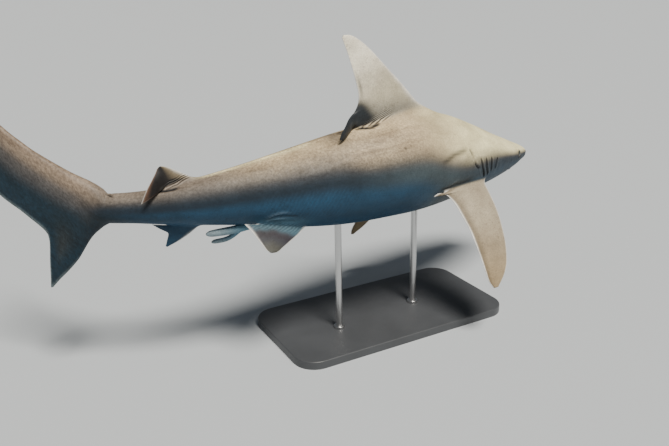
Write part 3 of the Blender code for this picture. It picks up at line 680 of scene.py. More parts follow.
class Hide:
    """The skin's points as its creases are pressed in, with what each does to its colour: painted shade in
    grooves and slits, dark scar marks, and painted highlight on ridges and lips.
    """

    def __init__(self, points, normals, faces):
        self.points = points
        self.normals = normals
        self.tree = BVHTree.FromPolygons(points.tolist(), faces)
        self.move = np.zeros(len(points))
        self.dark = np.zeros(len(points))
        self.pale = np.zeros(len(points))

    def snap(self, path):
        """The nearest points of the skin."""
        return np.array([self.tree.find_nearest(Vector(point))[0] for point in path])

    def near(self, path, margin):
        """Which points lie near a path; how far away, where along it, and the reach to each."""
        low, high = path.min(axis=0) - margin, path.max(axis=0) + margin
        some = np.flatnonzero(np.all((self.points > low) & (self.points < high), axis=1))
        begin, run = path[:-1], np.diff(path, axis=0)
        reach = self.points[some, None, :] - begin[None]
        at = np.clip(np.sum(reach * run, axis=2) / np.sum(run * run, axis=1), 0.0, 1.0)
        gaps = np.linalg.norm(reach - at[..., None] * run, axis=2)
        best = gaps.argmin(axis=1)
        rows = np.arange(len(some))
        walk = (best + at[rows, best]) / len(run)
        return some, gaps[rows, best], walk, (reach - at[..., None] * run)[rows, best]

    def press(self, path, width, depth, dark=0.0, pale=0.0, ends=0.15, lip=0.0, glow=0.0):
        """A soft groove along a path, or a ridge where depth is negative; sizes in metres.  dark is painted
        shade in a groove and the dark mark of a scar; pale and glow are painted highlight.
        """
        some, gap, walk, _ = self.near(path, 4 * width)
        fade = ease_ends(walk, ends) if ends else 1.0
        cut = hill(gap, 0.0, width) * fade
        bank = hill(gap, 2.2 * width, width) * fade
        self.move[some] += lip * bank - depth * cut
        self.tint(some, dark * cut, np.maximum(pale * cut, glow * bank))

    def slit(self, path, forward, wide=1.0):
        """A gill slit: a flap that rises, then drops sharply into the opening behind it, with painted shade
        in the opening and a painted highlight on the flap's edge.
        """
        some, gap, walk, reach = self.near(path, GILL_REACH)
        behind = -(reach @ forward)
        fade = ease_ends(walk, GILL_ENDS[0])
        beside = hill(np.clip(gap - np.abs(behind), 0.0, None), 0.0, GILL_ENDS[1])

        def across(at, width, strength):
            return strength * hill(behind, at, width)
        gape, shade = ((at, width * wide, strength) for at, width, strength in (GILL_GAPE, GILL_SHADE))
        self.move[some] += (across(*GILL_FLAP) - across(*gape)) * fade * beside
        self.tint(some, across(*shade) * fade * beside, across(*GILL_GLOW) * fade * beside)

    def tint(self, some, dark, pale):
        """Darken and lighten some points, unless something else does so more: painted shade and scar marks,
        and painted highlight.
        """
        self.dark[some] = np.maximum(self.dark[some], np.clip(dark, 0.0, 1.0))
        self.pale[some] = np.maximum(self.pale[some], pale)


def flank(knots, side, count=30):
    """World points of a path on the body: station, and degrees up from the flank's middle."""
    evenly = (100.0, 1.0)     # a hundredth of the length counts as much as a degree
    station, angle = along(np.array(knots) * evenly, np.linspace(0.0, 1.0, count)).T
    turn = np.radians(angle)
    return on_body(station / evenly[0], turn if side > 0 else math.pi - turn)


GILLS = (                     # from the front: width against the plain slit, then station and degrees up
    (1.10, ((0.1680, 9.6), (0.1728, 0.5), (0.1746, -8.7))),
    (1.05, ((0.1874, 12.5), (0.1880, 0.0), (0.1857, -11.9))),
    (1.00, ((0.2031, 12.0), (0.2003, -3.0), (0.1920, -17.9))),
    (0.95, ((0.2169, 12.8), (0.2100, -4.0), (0.2005, -19.6))),
    (0.70, ((0.2314, 8.0), (0.2268, 3.5), (0.2191, -0.8))),
)
# paths on the body: station and degrees up from the flank's middle
MOUTH = ((0.1050, -37.0), (0.0965, -41.0), (0.0865, -48.0), (0.0770, -60.0), (0.0712, -75.0),
         (0.0695, -90.0))     # the left half, from its corner to the middle line
LIP_FURROW = ((0.1055, -36.5), (0.1120, -31.0))
NOSTRIL = ((0.0425, -62.0), (0.0375, -52.0), (0.0345, -38.0))
BACK_RIDGE = (0.435, 0.620)   # stations on the middle line
# paths on the flank, then width and depth in mm, darkness (painted shade in a fold) and paleness (painted
# highlight on a ridge)
FLANK_FOLDS = (
    (((0.2405, 25.3), (0.2552, 21.8), (0.2684, 20.2), (0.2888, 14.9), (0.3060, 12.0)), 6.0, 2.6, 0.75, 0.0),
    (((0.2330, 14.0), (0.2365, 19.0), (0.2405, 25.3)), 4.0, 2.0, 0.65, 0.0),
    (((0.2440, 17.0), (0.2560, 14.5), (0.2700, 12.0), (0.2860, 8.0)), 9.0, -1.8, 0.0, 0.20),
    (((0.2926, -18.3), (0.2813, -17.1), (0.2720, -13.0), (0.2615, -9.6)), 2.6, -1.8, 0.0, 0.45),
    (((0.2950, -21.0), (0.2813, -19.0), (0.2700, -16.0), (0.2590, -14.0)), 3.2, 2.0, 0.40, 0.0),
    (((0.3020, -21.5), (0.2850, -19.6), (0.2620, -18.4), (0.2400, -18.4), (0.2200, -19.5)),
     4.5, 3.0, 0.60, 0.0),
    (((0.2480, -16.5), (0.2380, -13.0), (0.2290, -11.0)), 2.6, 1.4, 0.20, 0.0),
    (((0.2245, 4.0), (0.2160, -8.0), (0.2070, -20.0)), 1.3, -0.8, 0.0, 0.30),
    (((0.2400, 6.0), (0.2310, 12.0), (0.2180, 15.8), (0.2050, 15.2), (0.1880, 15.0)), 2.0, -0.8, 0.0, 0.35),
    (((0.5538, -36.8), (0.5479, -31.5), (0.5400, -25.5), (0.5295, -22.2), (0.5162, -25.0)),
     3.0, -2.0, 0.0, 0.60),
    (((0.5560, -41.0), (0.5450, -34.5), (0.5330, -30.0), (0.5200, -30.0), (0.5083, -34.7)),
     2.6, 1.8, 0.50, 0.0),
    (((0.5540, -44.0), (0.5420, -38.0), (0.5300, -35.0), (0.5180, -36.5)), 2.6, -1.8, 0.0, 0.60),
    (((0.5500, -45.0), (0.5380, -41.5), (0.5240, -41.0), (0.5100, -45.0)), 2.6, 1.6, 0.45, 0.0),
    (((0.5100, 30.0), (0.4850, 33.0), (0.4500, 37.0), (0.4250, 40.0)), 6.0, -0.5, 0.0, 0.22),
)
PIT = ((0.7320, 60.0), (0.7360, 66.0), (0.7400, 76.0), (0.7425, 86.0))   # the left half, as for the mouth
# beside the fins on the back: station, way out and height; then width and depth in mm, and darkness (painted
# shade in the fold)
BACK_FOLDS = (
    (((0.4020, 0.0029, 0.0694), (0.3933, 0.0068, 0.0705), (0.3830, 0.0113, 0.0707), (0.3730, 0.0100, 0.0722),
      (0.3620, 0.0070, 0.0760)), 4.4, 1.4, 2.60),
    (((0.4330, 0.0030, 0.0712), (0.4200, 0.0040, 0.0725), (0.4080, 0.0050, 0.0728), (0.3960, 0.0060, 0.0720)),
     4.5, 1.6, 2.00),
    (((0.6890, 0.0060, 0.0215), (0.6780, 0.0080, 0.0222), (0.6660, 0.0100, 0.0236), (0.6540, 0.0100, 0.0262)),
     3.4, 1.6, 2.00),
)
# fine pleats at the foot of both fins on the back, measured along a slanting direction and across it
PLEAT_RUN = (-0.924, 0.382)   # the direction, as shares of station and height
PLEATS = ((-0.312, 0.2108, 0.029, 0.0092), (-0.594, 0.2795, 0.017, 0.0052))   # place, then reach
PLEAT_GAP = 0.0046            # from one pleat to the next, m
# place on the flank, width in mm, and darkness on the right side; fainter on the left
SCARS = (((0.3530, 38.0), 2.6, 0.8), ((0.4466, 34.0), 3.0, 0.6), ((0.3120, 22.0), 1.8, 0.4),
         ((0.4100, 18.0), 1.6, 0.4), ((0.2890, 40.0), 1.6, 0.3))
SCAR_DEPTH = 0.0008           # m


def over_middle(knots, count):
    """World points of a path on the body and of its mirror image, joined; knots are its left half."""
    half = math.copysign(180.0, knots[0][1])
    far = tuple((station, half - angle) for station, angle in knots[::-1])
    return flank(tuple(dict.fromkeys(knots + far)), 1, count)


def press_all(hide):
    """Every groove, fold, slit and ridge of the skin."""
    for side in (1, -1):
        for wide, knots in GILLS:
            hide.slit(flank(knots, side), axes(knots[1][0])[0], wide)
        for knots, width, depth, dark, pale in FLANK_FOLDS:
            hide.press(flank(knots, side), width / 1000, depth / 1000, dark, pale, FOLD_ENDS)
        for knots, width, depth, dark in BACK_FOLDS:
            station, out, height = along(knots, np.linspace(0.0, 1.0, 24)).T
            path = hide.snap(place(station, out * side, height))
            lip, glow = FOLD_LIP
            hide.press(path, width / 1000, depth / 1000, dark, 0.0, FOLD_ENDS, lip * depth / 1000, glow)
        hide.press(flank(NOSTRIL, side), *NOSTRIL_CUT)
        hide.press(flank(LIP_FURROW, side, 8), *LIP_FURROW_CUT)
        for (station, angle), width, dark in SCARS:
            spot = flank(((station, angle), (station + 0.001, angle)), side, 3)
            hide.press(spot, width / 1000, SCAR_DEPTH, dark if side < 0 else 0.4 * dark, 0.0, 0.0)
    hide.press(over_middle(MOUTH, 90), *MOUTH_CUT)
    hide.press(on_body(np.linspace(*BACK_RIDGE, 60), math.pi / 2), *BACK_RIDGE_CUT)
    hide.press(over_middle(PIT, 60), *PIT_CUT)


def add_object(name, data):
    """A new object in the scene."""
    item = bpy.data.objects.new(name, data)
    bpy.context.scene.collection.objects.link(item)
    return item


def normals_of(points, faces):
    """Outward directions at the points of a mesh."""
    data = bpy.data.meshes.new("normals")
    data.from_pydata(points.tolist(), [], faces)
    flat = np.zeros(len(points) * 3)
    data.vertex_normals.foreach_get("vector", flat)
    bpy.data.meshes.remove(data)
    return flat.reshape(-1, 3)


def relax(points, values, faces, rounds=14):
    """Ease the foot of each growth into the body."""
    foot = values[:, 0] % 1.0 == FOOT
    pairs = np.array([(a, b) for face in faces for a, b in zip(face, face[1:] + face[:1])])
    links = np.unique(np.sort(pairs, axis=1), axis=0)
    weight = foot.astype(float)
    for _ in range(2):
        spread = np.zeros(len(points))
        for a, b in ((links[:, 0], links[:, 1]), (links[:, 1], links[:, 0])):
            np.maximum.at(spread, a, weight[b] * 0.6)
        weight = np.maximum(weight, spread)
    count = np.bincount(links.ravel(), minlength=len(points))
    for _ in range(rounds):
        total = np.zeros_like(points)
        np.add.at(total, links[:, 0], points[links[:, 1]])
        np.add.at(total, links[:, 1], points[links[:, 0]])
        points = points + 0.5 * weight[:, None] * (total / count[:, None] - points)
    return points


def make_skin(sizes):
    """The skin: one closed mesh over the whole shark with its creases, and what its paint goes by."""
    points, values, faces = weave_skin()
    points = relax(points, values, faces)
    hide = Hide(points, normals_of(points, faces), faces)
    press_all(hide)
    points = points + hide.normals * (hide.move * sizes.fold_depth)[:, None]
    data = bpy.data.meshes.new("shark_skin")
    data.from_pydata(points.tolist(), [], faces)
    data.validate()
    data.shade_smooth()
    return add_object("shark_skin", data), hide, values


# ---- paint ----------------------------------------------------------------
def body_place(points):
    """Station, side and height of world points, measured from the curved spine."""
    rows = np.arange(0, len(SPINE_STATIONS), 4)
    station = np.empty(len(points))
    for first in range(0, len(points), 20000):
        some = slice(first, first + 20000)
        gaps = points[some, None, :] - SPINE_POINTS[None, rows]
        station[some] = SPINE_STATIONS[rows[np.argmin(np.sum(gaps * gaps, axis=2), axis=1)]]

    def measure():
        """How far ahead of its station, to the left of it and above it each point is."""
        offset = points - place(station, 0.0, 0.0)
        return [np.sum(offset * way, axis=1) / LENGTH for way in axes(station)]
    for _ in range(3):
        station = np.clip(station - measure()[0], 0.0, 1.0)
    return station, *measure()[1:]


def blend(below, above, share):
    """Colours between two colours, by share."""
    share = np.clip(np.asarray(share), 0.0, 1.0)[:, None]
    return np.asarray(below) * (1.0 - share) + np.asarray(above) * share


# station, and degrees up the flank: where the pale back gives way, and where the painted shade of the belly
# begins
WARM_LINE = ((0.00, 26.0), (0.10, 23.0), (0.20, 23.0), (0.24, 20.0), (0.285, 27.0), (0.32, 37.0),
             (0.37, 41.0), (0.42, 44.0), (0.45, 58.0), (0.49, 68.0), (0.53, 68.0), (0.61, 76.0),
             (0.70, 82.0), (0.745, 72.0))
COOL_LINE = ((0.00, -4.0), (0.09, -2.0), (0.16, 0.0), (0.205, -4.0), (0.24, -6.0), (0.285, -1.0),
             (0.32, 6.0), (0.41, 10.0), (0.45, 13.0), (0.493, 13.0), (0.533, 12.0), (0.61, 8.0),
             (0.70, 2.0), (0.745, 0.0))


# patches of tone on the body: middle and reach in station, then in degrees up the flank; the last two are a
# painted shadow and painted light
BROWN_FLANK = (0.405, 0.060, 52.0, 14.0)
FIN_SHADOW = (0.438, 0.014, 84.0, 24.0)   # painted shadow under the first dorsal fin's rear lobe
# painted light round the pelvic fins
PELVIC_PAINTED_LIGHT = (0.530, 0.030, -44.0, 10.0)


def patch_of(spec, station, angle):
    """How much a point belongs to a patch of the body."""
    middle, far, up, wide = spec
    return hill(station, middle, far) * hill(angle, up, wide)


def paint_body(colours, station, angle):
    """Pale back and grey flank; a dark band low on the side and the dark blue belly under it are painted
    shade, as under light from above, with patches of painted highlight, shadow and light.
    """
    at = np.minimum(station, BODY_END)
    warm, cool = smooth(*zip(*WARM_LINE), at), smooth(*zip(*COOL_LINE), at)
    pale = blend(colours.snout, colours.back, ramp(station, 0.20, 0.14))
    pale = blend(pale, colours.tail * 0.85, ramp(station, 0.53, 0.10))
    share = (angle - cool) / (warm - cool)
    # painted shade: a dark band low on the side, less dark over the shoulder
    shade_band = blend(colours.edge, colours.shoulder_shade, hill(station, 0.315, 0.090))
    tone = blend(shade_band, colours.flank, ramp(share, 0.0, 0.80))
    tone = blend(tone, pale, ramp(share, 0.25, 0.95))
    tone = blend(tone, colours.flank * 2.1, 0.45 * patch_of(BROWN_FLANK, station, angle))
    tone = blend(tone, colours.flank, 0.7 * patch_of(FIN_SHADOW, station, angle))
    # painted shade: throat and belly dark blue, as in shade under light from above; darker still towards the
    # tail
    low = blend(colours.throat_shade, colours.belly, ramp(station, 0.20, 0.12))
    low = blend(low, colours.shoulder_shade, hill(station, 0.265, 0.045))
    low = blend(low, colours.low_tail_shade * 0.7, ramp(station, 0.67, 0.09))
    tone = blend(tone, low, ramp(cool - angle, 0.0, 22.0))
    # painted highlight along the ridge of the back
    crest_highlight = hill(angle, 90.0, 8.0) * ramp(station, 0.46, 0.03) * ramp(station, 0.645, -0.03)
    tone = blend(tone, colours.snout, 0.75 * crest_highlight)
    # painted light round the pelvic fins, in the claspers' blue
    return blend(tone, colours.clasper * 0.7, 0.6 * patch_of(PELVIC_PAINTED_LIGHT, station, angle))


def paint_tail(colours, below, depth):
    """Pale streaked band under the back edge of the tail fin; below it and on the lower lobe, painted shade
    darkens and blues the fin.
    """
    # painted shade: darker and bluer further under the back edge
    tone = blend(colours.tail * (1.12, 1.05, 0.97), colours.tail * (0.50, 0.54, 0.62),
                 ramp(below, 0.010, 0.016))
    tone = blend(tone, colours.low_tail_shade, ramp(below, 0.020, 0.036))
    olive = hill(below, 0.115, 0.035) * ramp(depth, 0.85, -0.4)
    tone = blend(tone, colours.tail * (0.22, 0.24, 0.22), 0.8 * olive)
    return blend(tone, colours.tail_rim, 0.45 * ramp(depth, 0.93, 0.06))


STREAK_EASE = 0.15            # how strong the streaks are where the hide is plainest
# how far the pale rim reaches in from the front and the rear edge, and its strength; the rim is partly the
# fins' own pale margin, partly a painted highlight along the edges
FIN_RIMS = {DORSAL: (0.040, 0.030, 0.80), SMALL_FIN: (0.050, 0.035, 0.50),
            PECTORAL_FIN: (0.040, 0.032, 1.0), PELVIC_FIN: (0.020, 0.045, 0.90)}
# the spans between which a fin's own paint takes over from the body's
FIN_PAINT = {DORSAL: (0.10, 0.24), SMALL_FIN: (0.25, 0.45), PECTORAL_FIN: (0.06, 0.17),
             PELVIC_FIN: (0.20, 0.36)}


def paint_fin(colours, kind, station, height, span, chord):
    """Tones of one kind of fin; chord runs from its front edge to its rear edge."""
    if kind == DORSAL:
        tone = blend(colours.fin_low, colours.fin, ramp(height, 0.085, 0.035))
        # painted light: the fin lighter towards its tip, as if the sun shone through it
        tone = blend(tone, colours.fin_tip_light, ramp(span, 0.45, 0.4))
        # painted shade on the first dorsal fin's free rear lobe
        behind = station - 0.360 - 0.75 * np.clip(height - 0.085, 0, 1)
        lobe = ramp(height, 0.118, -0.018) * ramp(behind, 0.0, 0.020)
        tone = blend(tone, colours.fin_shade * 0.85, 0.97 * lobe)
        # a darker patch by the rear edge, just above the rear lobe
        dark_patch = hill(chord, 0.90, 0.06) * hill(height, 0.128, 0.013)
        tone = blend(tone, colours.flank * 0.6, 0.6 * dark_patch)
    elif kind == SMALL_FIN:
        # the fin's dark ground: partly its own colour, partly painted shade
        tone = blend(colours.fin_shade * (0.9, 0.55, 0.40),
                     colours.flank * (1.3, 0.80, 0.55), ramp(chord, 0.74, 0.2) * 0.6)
        tone = blend(tone, colours.back * 0.7, 0.62 * ramp(chord, 0.34, -0.28))
        # painted shade: below the middle line the fin takes the dark blue of the shaded belly
        tone = blend(tone, colours.belly * 0.8, ramp(height, 0.0, -0.01))
    elif kind == PECTORAL_FIN:
        tone = blend(colours.pectoral, colours.pectoral * (0.78, 0.70, 0.58), ramp(span, 0.45, 0.5))
        tone = blend(tone, colours.flank * (1.05, 0.95, 0.70), 0.55 * ramp(chord, 0.72, 0.2))
    else:
        waver = span - 0.030 * np.sin(8.0 * chord + 0.6) - 0.015 * np.sin(21.0 * chord)
        tone = blend(colours.clasper * 0.30, colours.pelvic * 1.5, ramp(waver, 0.40, 0.13))
        tone = blend(tone, colours.pelvic * (1.0, 0.80, 0.85), hill(waver, 0.58, 0.07))
        tone = blend(tone, colours.pelvic * (2.5, 2.4, 1.6), ramp(waver, 0.64, 0.25))
    fore, aft, weight = FIN_RIMS[kind]
    rim = hill(chord, 0.0, fore) + hill(chord, 1.0, aft)
    if kind == DORSAL:
        rim = rim * (1.0 - lobe)
    return blend(tone, colours.rim, weight * rim * ramp(span, 0.05, 0.2))


def paint_all(palette, values, station, height, angle, below):
    """The colour of every point of the skin."""
    region, along_it, share = values.T
    kind = np.floor(region)
    tone = paint_body(palette, station, angle)
    some = kind == TAIL
    tone[some] = blend(tone[some], paint_tail(palette, below, share[some]), ramp(along_it[some], 0.0, 0.16))
    for fin, (begin, full) in FIN_PAINT.items():
        some = kind == fin
        joined = paint_fin(palette, fin, station[some], height[some], along_it[some], share[some])
        tone[some] = blend(tone[some], joined, ramp(along_it[some], begin, full - begin))
    some = kind == CLASPER
    # painted shade in the clasper's groove
    groove = 0.45 * hill(share[some], -0.2, 0.25) * ramp(along_it[some], 0.0, 0.2)
    rod = blend(palette.clasper * 0.85, palette.rim * 0.8, 0.30 * ramp(along_it[some], 0.3, 0.6))
    tone[some] = blend(blend(tone[some], rod, ramp(along_it[some], 0.0, 0.15)), palette.edge, groove)
    some = region == LID
    tone[some] = blend(tone[some], palette.flank, 0.45 * (along_it[some] < LID_EDGE))
    # painted shade where the lids turn in against the eyeball
    tone[some] = blend(tone[some], palette.crease, (along_it[some] > LID_EDGE) * 1.0)
    return tone


def surface_marks(values, station, side, height, angle):
    """How strong streaks, ripples and pleats are at every point, and how many pleats have passed there."""
    kind, along_it = np.floor(values[:, 0]), values[:, 1]
    streak = STREAK_EASE + 0.60 * ramp(station, 0.28, 0.08) * ramp(angle, 5.0, 25.0)
    streak = np.maximum(streak, 0.85 * ramp(station, 0.70, 0.10))
    streak[(kind == DORSAL) | (kind == SMALL_FIN)] = STREAK_EASE
    wrinkle = ramp(station, 0.42, 0.04) * ramp(station, 0.58, -0.04) * ramp(angle, -40.0, 15.0)
    wrinkle = 0.45 * wrinkle * ramp(angle, 14.0, -12.0)
    run = PLEAT_RUN[0] * station + PLEAT_RUN[1] * height
    rise = PLEAT_RUN[1] * station - PLEAT_RUN[0] * height
    pleat = sum(np.exp(-((run - at) / far) ** 4 - ((rise - up) / wide) ** 4) for at, up, far, wide in PLEATS)
    pleat = pleat * ramp(np.abs(side), 0.0088, -0.003) * np.where(station > 0.5, 0.8, 1.0)
    some = kind == PELVIC_FIN
    wrinkle[some] = 0.0
    rise[some] = 0.7 * (height + 0.35 * station)[some]
    pleat[some] = 0.30 * ramp(along_it[some], 0.10, 0.10) * ramp(along_it[some], 0.50, -0.12)
    return {"streak": streak, "wrinkle": wrinkle, "pleat": pleat, "turns": rise * LENGTH / PLEAT_GAP}


def paint_skin(skin, hide, values, colours):
    """Store the colour of every point, and what the material needs to know of the place it is at."""
    palette = SimpleNamespace(**{name: np.array(getattr(colours, name)) for name in setting_names(colours)})
    station, side, height = body_place(hide.points)
    back, belly, half = girth(np.clip(station, 0.01, BODY_END))
    angle = np.degrees(np.arctan2(height / np.where(height > 0.0, back, belly), np.abs(side) / half))
    tail = np.floor(values[:, 0]) == TAIL
    below = off_edge(np.column_stack([station, height])[tail], TAIL_BACK)
    tone = paint_all(palette, values, station, height, angle, below)
    lie = np.column_stack([station, side, height])
    lie[tail, 2] = TAIL_BACK[0][1] - below
    layers = [("hide", "FLOAT_COLOR", "color", np.column_stack([tone, np.ones(len(tone))])),
              ("lie", "FLOAT_VECTOR", "vector", lie * LENGTH)]
    marks = surface_marks(values, station, side, height, angle)
    # crease holds painted shade and scar marks, pale holds painted highlight
    for name, column in {"crease": hide.dark, "pale": hide.pale, **marks}.items():
        layers.append((name, "FLOAT", "value", column))
    for name, kind, field, column in layers:
        layer = skin.data.attributes.new(name, kind, "POINT")
        layer.data.foreach_set(field, column.astype(np.float32).ravel())


# ---- materials ------------------------------------------------------------
class Mixer:
    """Lays out the nodes of one procedural material."""

    def __init__(self, name):
        self.material = bpy.data.materials.new(name)
        self.material.use_nodes = True
        self.tree = self.material.node_tree
        self.finish = self.tree.nodes["Principled BSDF"]

    def add(self, kind, *feeds, **settings):
        """A node; each feed is (input, value or output socket)."""
        item = self.tree.nodes.new("ShaderNode" + kind)
        for name, value in settings.items():
            setattr(item, name, value)
        for socket, value in feeds:
            self.feed(item.inputs[socket], value)
        return item

    def feed(self, socket, value):
        """Set an input, or join it to another node's output."""
        if isinstance(value, bpy.types.NodeSocket):
            self.tree.links.new(value, socket)
        else:
            socket.default_value = (*value, 1.0) if socket.type == "RGBA" else value

    def read(self, name, output="Fac"):
        """A value stored on the mesh."""
        return self.add("Attribute", attribute_name=name).outputs[output]

    def maths(self, operation, first, second=0.0, clamp=False):
        """Sum, product or other result of two values."""
        return self.add("Math", (0, first), (1, second), operation=operation, use_clamp=clamp).outputs[0]

    def times(self, first, second, clamp=False):
        """Product of two values."""
        return self.maths("MULTIPLY", first, second, clamp)

    def spread(self, value, low, high, to_low=0.0, to_high=1.0):
        """A value brought from one range to another."""
        item = self.add("MapRange", (0, value), (1, low), (2, high), (3, to_low), (4, to_high))
        return item.outputs[0]

    def mix(self, share, first, second, how="MIX"):
        """Colours mixed by a share."""
        item = self.add("Mix", (0, share), (6, first), (7, second), data_type="RGBA", blend_type=how)
        return item.outputs[2]

    def tint(self, share, tone, colour):
        """A colour multiplied by another, by a share."""
        return self.mix(share, tone, colour, "MULTIPLY")

    def bump(self, height, distance, strength, **feeds):
        """Fine relief of the surface."""
        return self.add("Bump", ("Height", height), ("Distance", distance), ("Strength", strength),
                        *feeds.items()).outputs[0]

    def noise(self, where, scale, detail=3.0, rough=0.55, warp=0.0):
        """Cloudy values between 0 and 1."""
        item = self.add("TexNoise", ("Vector", where), ("Scale", scale), ("Detail", detail),
                        ("Roughness", rough), ("Distortion", warp))
        return item.outputs["Fac"]

    def stretch(self, where, scale, turn=(0.0, 0.0, 0.0)):
        """Coordinates stretched and turned, for streaks."""
        return self.add("Mapping", ("Vector", where), ("Scale", scale), ("Rotation", turn)).outputs[0]

    def end(self, **finish):
        """Feed the finish of the surface; returns the material."""
        for name, value in finish.items():
            self.feed(self.finish.inputs[name.replace("_", " ")], value)
        return self.material


def skin_material(look):
    """Satin hide: mottling, freckles, streaks along the body, creases, pleats, ripples and tiny scales, with
    painted shade in creases and pleats and painted highlight on ridges, pleats and ripples.
    """
    mixer = Mixer("shark_hide")
    lie = mixer.read("lie", "Vector")
    tone = mixer.read("hide", "Color")
    cloud = mixer.noise(lie, 14.0, 4.0, 0.6)
    tone = mixer.tint(look.mottling, tone, mixer.mix(mixer.spread(cloud, 0.3, 0.7), (0.62, 0.58, 0.54),
                                                     (1.30, 1.30, 1.28)))
    band = mixer.noise(mixer.stretch(lie, (3.2, 26.0, 30.0)), 1.6, 5.0, 0.62, 0.6)
    band = mixer.times(mixer.spread(band, 0.50, 0.66), mixer.read("streak"))
    tone = mixer.tint(mixer.times(band, 0.75), tone, (0.50, 0.46, 0.43))
    light = mixer.noise(mixer.stretch(lie, (4.0, 60.0, 64.0)), 1.3, 5.0, 0.65, 0.9)
    light = mixer.times(mixer.spread(light, 0.54, 0.70), mixer.read("streak"))
    tone = mixer.tint(mixer.times(light, 0.55), tone, (1.55, 1.52, 1.45))
    speck = mixer.mix(mixer.spread(mixer.noise(lie, 170.0, 3.0, 0.7), 0.36, 0.64), (0.66, 0.64, 0.62),
                      (1.34, 1.34, 1.32))
    tone = mixer.tint(mixer.read("streak"), tone, speck)
    fleck = mixer.noise(lie, 210.0, 2.0, 0.5)
    patch = mixer.noise(lie, 22.0, 2.0, 0.5)
    fleck = mixer.times(mixer.spread(fleck, 0.58, 0.70), mixer.spread(patch, 0.42, 0.62))
    tone = mixer.tint(mixer.times(fleck, look.freckles), tone, (0.45, 0.40, 0.37))
    grain = mixer.noise(lie, 300.0, 4.0, 0.75)
    tone = mixer.tint(1.0, tone, mixer.mix(mixer.spread(grain, 0.3, 0.7), (0.80, 0.79, 0.78),
                                           (1.22, 1.22, 1.21)))
    turns = mixer.maths("ADD", mixer.read("turns"), mixer.times(mixer.noise(lie, 45.0, 1.0), 1.1))
    pleat = mixer.maths("SINE", mixer.times(turns, 2 * math.pi))
    pleat = mixer.times(pleat, mixer.read("pleat"))
    # painted highlight: the tone lightened as if lit, on pale ridges and lips and on the tops of the pleats;
    # painted shade in the pleats' hollows
    painted_highlight = mixer.mix(0.18, mixer.tint(1.0, tone, (2.3, 2.3, 2.3)), look.ridge_highlight)
    tone = mixer.mix(mixer.read("pale"), tone, painted_highlight)
    tone = mixer.mix(mixer.spread(pleat, 0.1, 0.8, 0.0, 0.6), tone, painted_highlight)
    tone = mixer.mix(mixer.spread(pleat, -0.8, -0.1, 0.85, 0.0), tone, look.crease)
    # painted shade in creases, slits, mouth and pits, and the dark of scars
    crease = mixer.times(mixer.read("crease"), mixer.spread(grain, 0.2, 0.6, 0.85, 1.0), True)
    tone = mixer.mix(crease, tone, look.crease)
    wave = mixer.add("TexWave", ("Vector", mixer.stretch(lie, (1.0, 1.0, 1.0), (0.0, 0.5, 0.0))),
                     ("Scale", 34.0), ("Distortion", 2.4), ("Detail", 2.0), ("Detail Scale", 1.2))
    fold = mixer.times(wave.outputs["Fac"], mixer.read("wrinkle"))
    # painted highlight on the crests of the ripples
    tone = mixer.tint(mixer.times(fold, 0.40), tone, (1.9, 1.9, 1.9))
    swell = mixer.times(mixer.noise(lie, 34.0, 3.0, 0.5), 0.7)
    height = mixer.maths("ADD", swell, mixer.times(fold, 0.9))
    height = mixer.maths("ADD", height, mixer.times(band, 0.3))
    height = mixer.maths("ADD", height, mixer.times(pleat, 1.2))
    soft = mixer.bump(height, 0.0011, 0.8)
    fine = mixer.bump(mixer.noise(lie, 900.0, 2.0, 0.6), 0.00022, 0.8, Normal=soft)
    rough = mixer.spread(mixer.noise(lie, 90.0), 0.3, 0.7, look.roughness - 0.06, look.roughness + 0.08)
    return mixer.end(Base_Color=tone, Roughness=rough, Specular_IOR_Level=0.32, Normal=fine)


def brighter(colour, share):
    """A colour multiplied by a number."""
    return [share * part for part in colour]


def eye_material(look):
    """Olive-grey iris round an upright slit, dark at the rim, under a clear wet front."""
    mixer = Mixer("shark_eye")
    across, rise, out = mixer.add("SeparateXYZ", ("Vector", mixer.read("gaze", "Vector"))).outputs
    bend = mixer.times(mixer.times(rise, rise), 2.6)
    reach = mixer.maths("ADD", mixer.maths("ABSOLUTE", across), bend)
    slit = mixer.spread(reach, look.pupil * 0.85, look.pupil * 1.1, 1.0, 0.0)
    spokes = mixer.noise(mixer.stretch(mixer.read("gaze", "Vector"), (6.0, 6.0, 2.0)), 3.0, 4.0, 0.7, 1.5)
    iris = mixer.mix(mixer.spread(spokes, 0.3, 0.7), look.iris, brighter(look.iris, 0.45))
    iris = mixer.mix(mixer.spread(out, 0.80, 0.72), iris, (0.012, 0.013, 0.015))
    iris = mixer.mix(slit, iris, (0.003, 0.003, 0.004))
    return mixer.end(Base_Color=iris, Roughness=0.18, Coat_Weight=0.5, Coat_Roughness=0.05,
                     Normal=mixer.bump(spokes, 0.0001, 0.3))


def base_material(look):
    """Dark satin paint with a very light orange peel."""
    mixer = Mixer("stand_paint")
    where = mixer.add("TexCoord").outputs["Object"]
    cloud = mixer.noise(where, 9.0, 3.0)
    tone = mixer.mix(mixer.spread(cloud, 0.3, 0.7), look.base_colour, brighter(look.base_colour, 1.25))
    peel = mixer.bump(mixer.noise(where, 420.0, 2.0), 0.0001, 0.5)
    rough = mixer.spread(mixer.noise(where, 25.0), 0.3, 0.7, 0.36, 0.46)
    return mixer.end(Base_Color=tone, Roughness=rough, Normal=peel)


def rod_material(look):
    """Steel brushed along the rod."""
    mixer = Mixer("stand_steel")
    where = mixer.add("TexCoord").outputs["Object"]
    brush = mixer.noise(mixer.stretch(where, (500.0, 500.0, 14.0)), 1.0, 3.0, 0.6)
    tone = mixer.mix(brush, brighter(look.rod_colour, 0.85), look.rod_colour)
    lines = mixer.bump(brush, 0.00005, 0.5)
    rough = mixer.spread(brush, 0.2, 0.8, look.rod_roughness - 0.06, look.rod_roughness + 0.08)
    return mixer.end(Base_Color=tone, Metallic=1.0, Roughness=rough, Normal=lines)


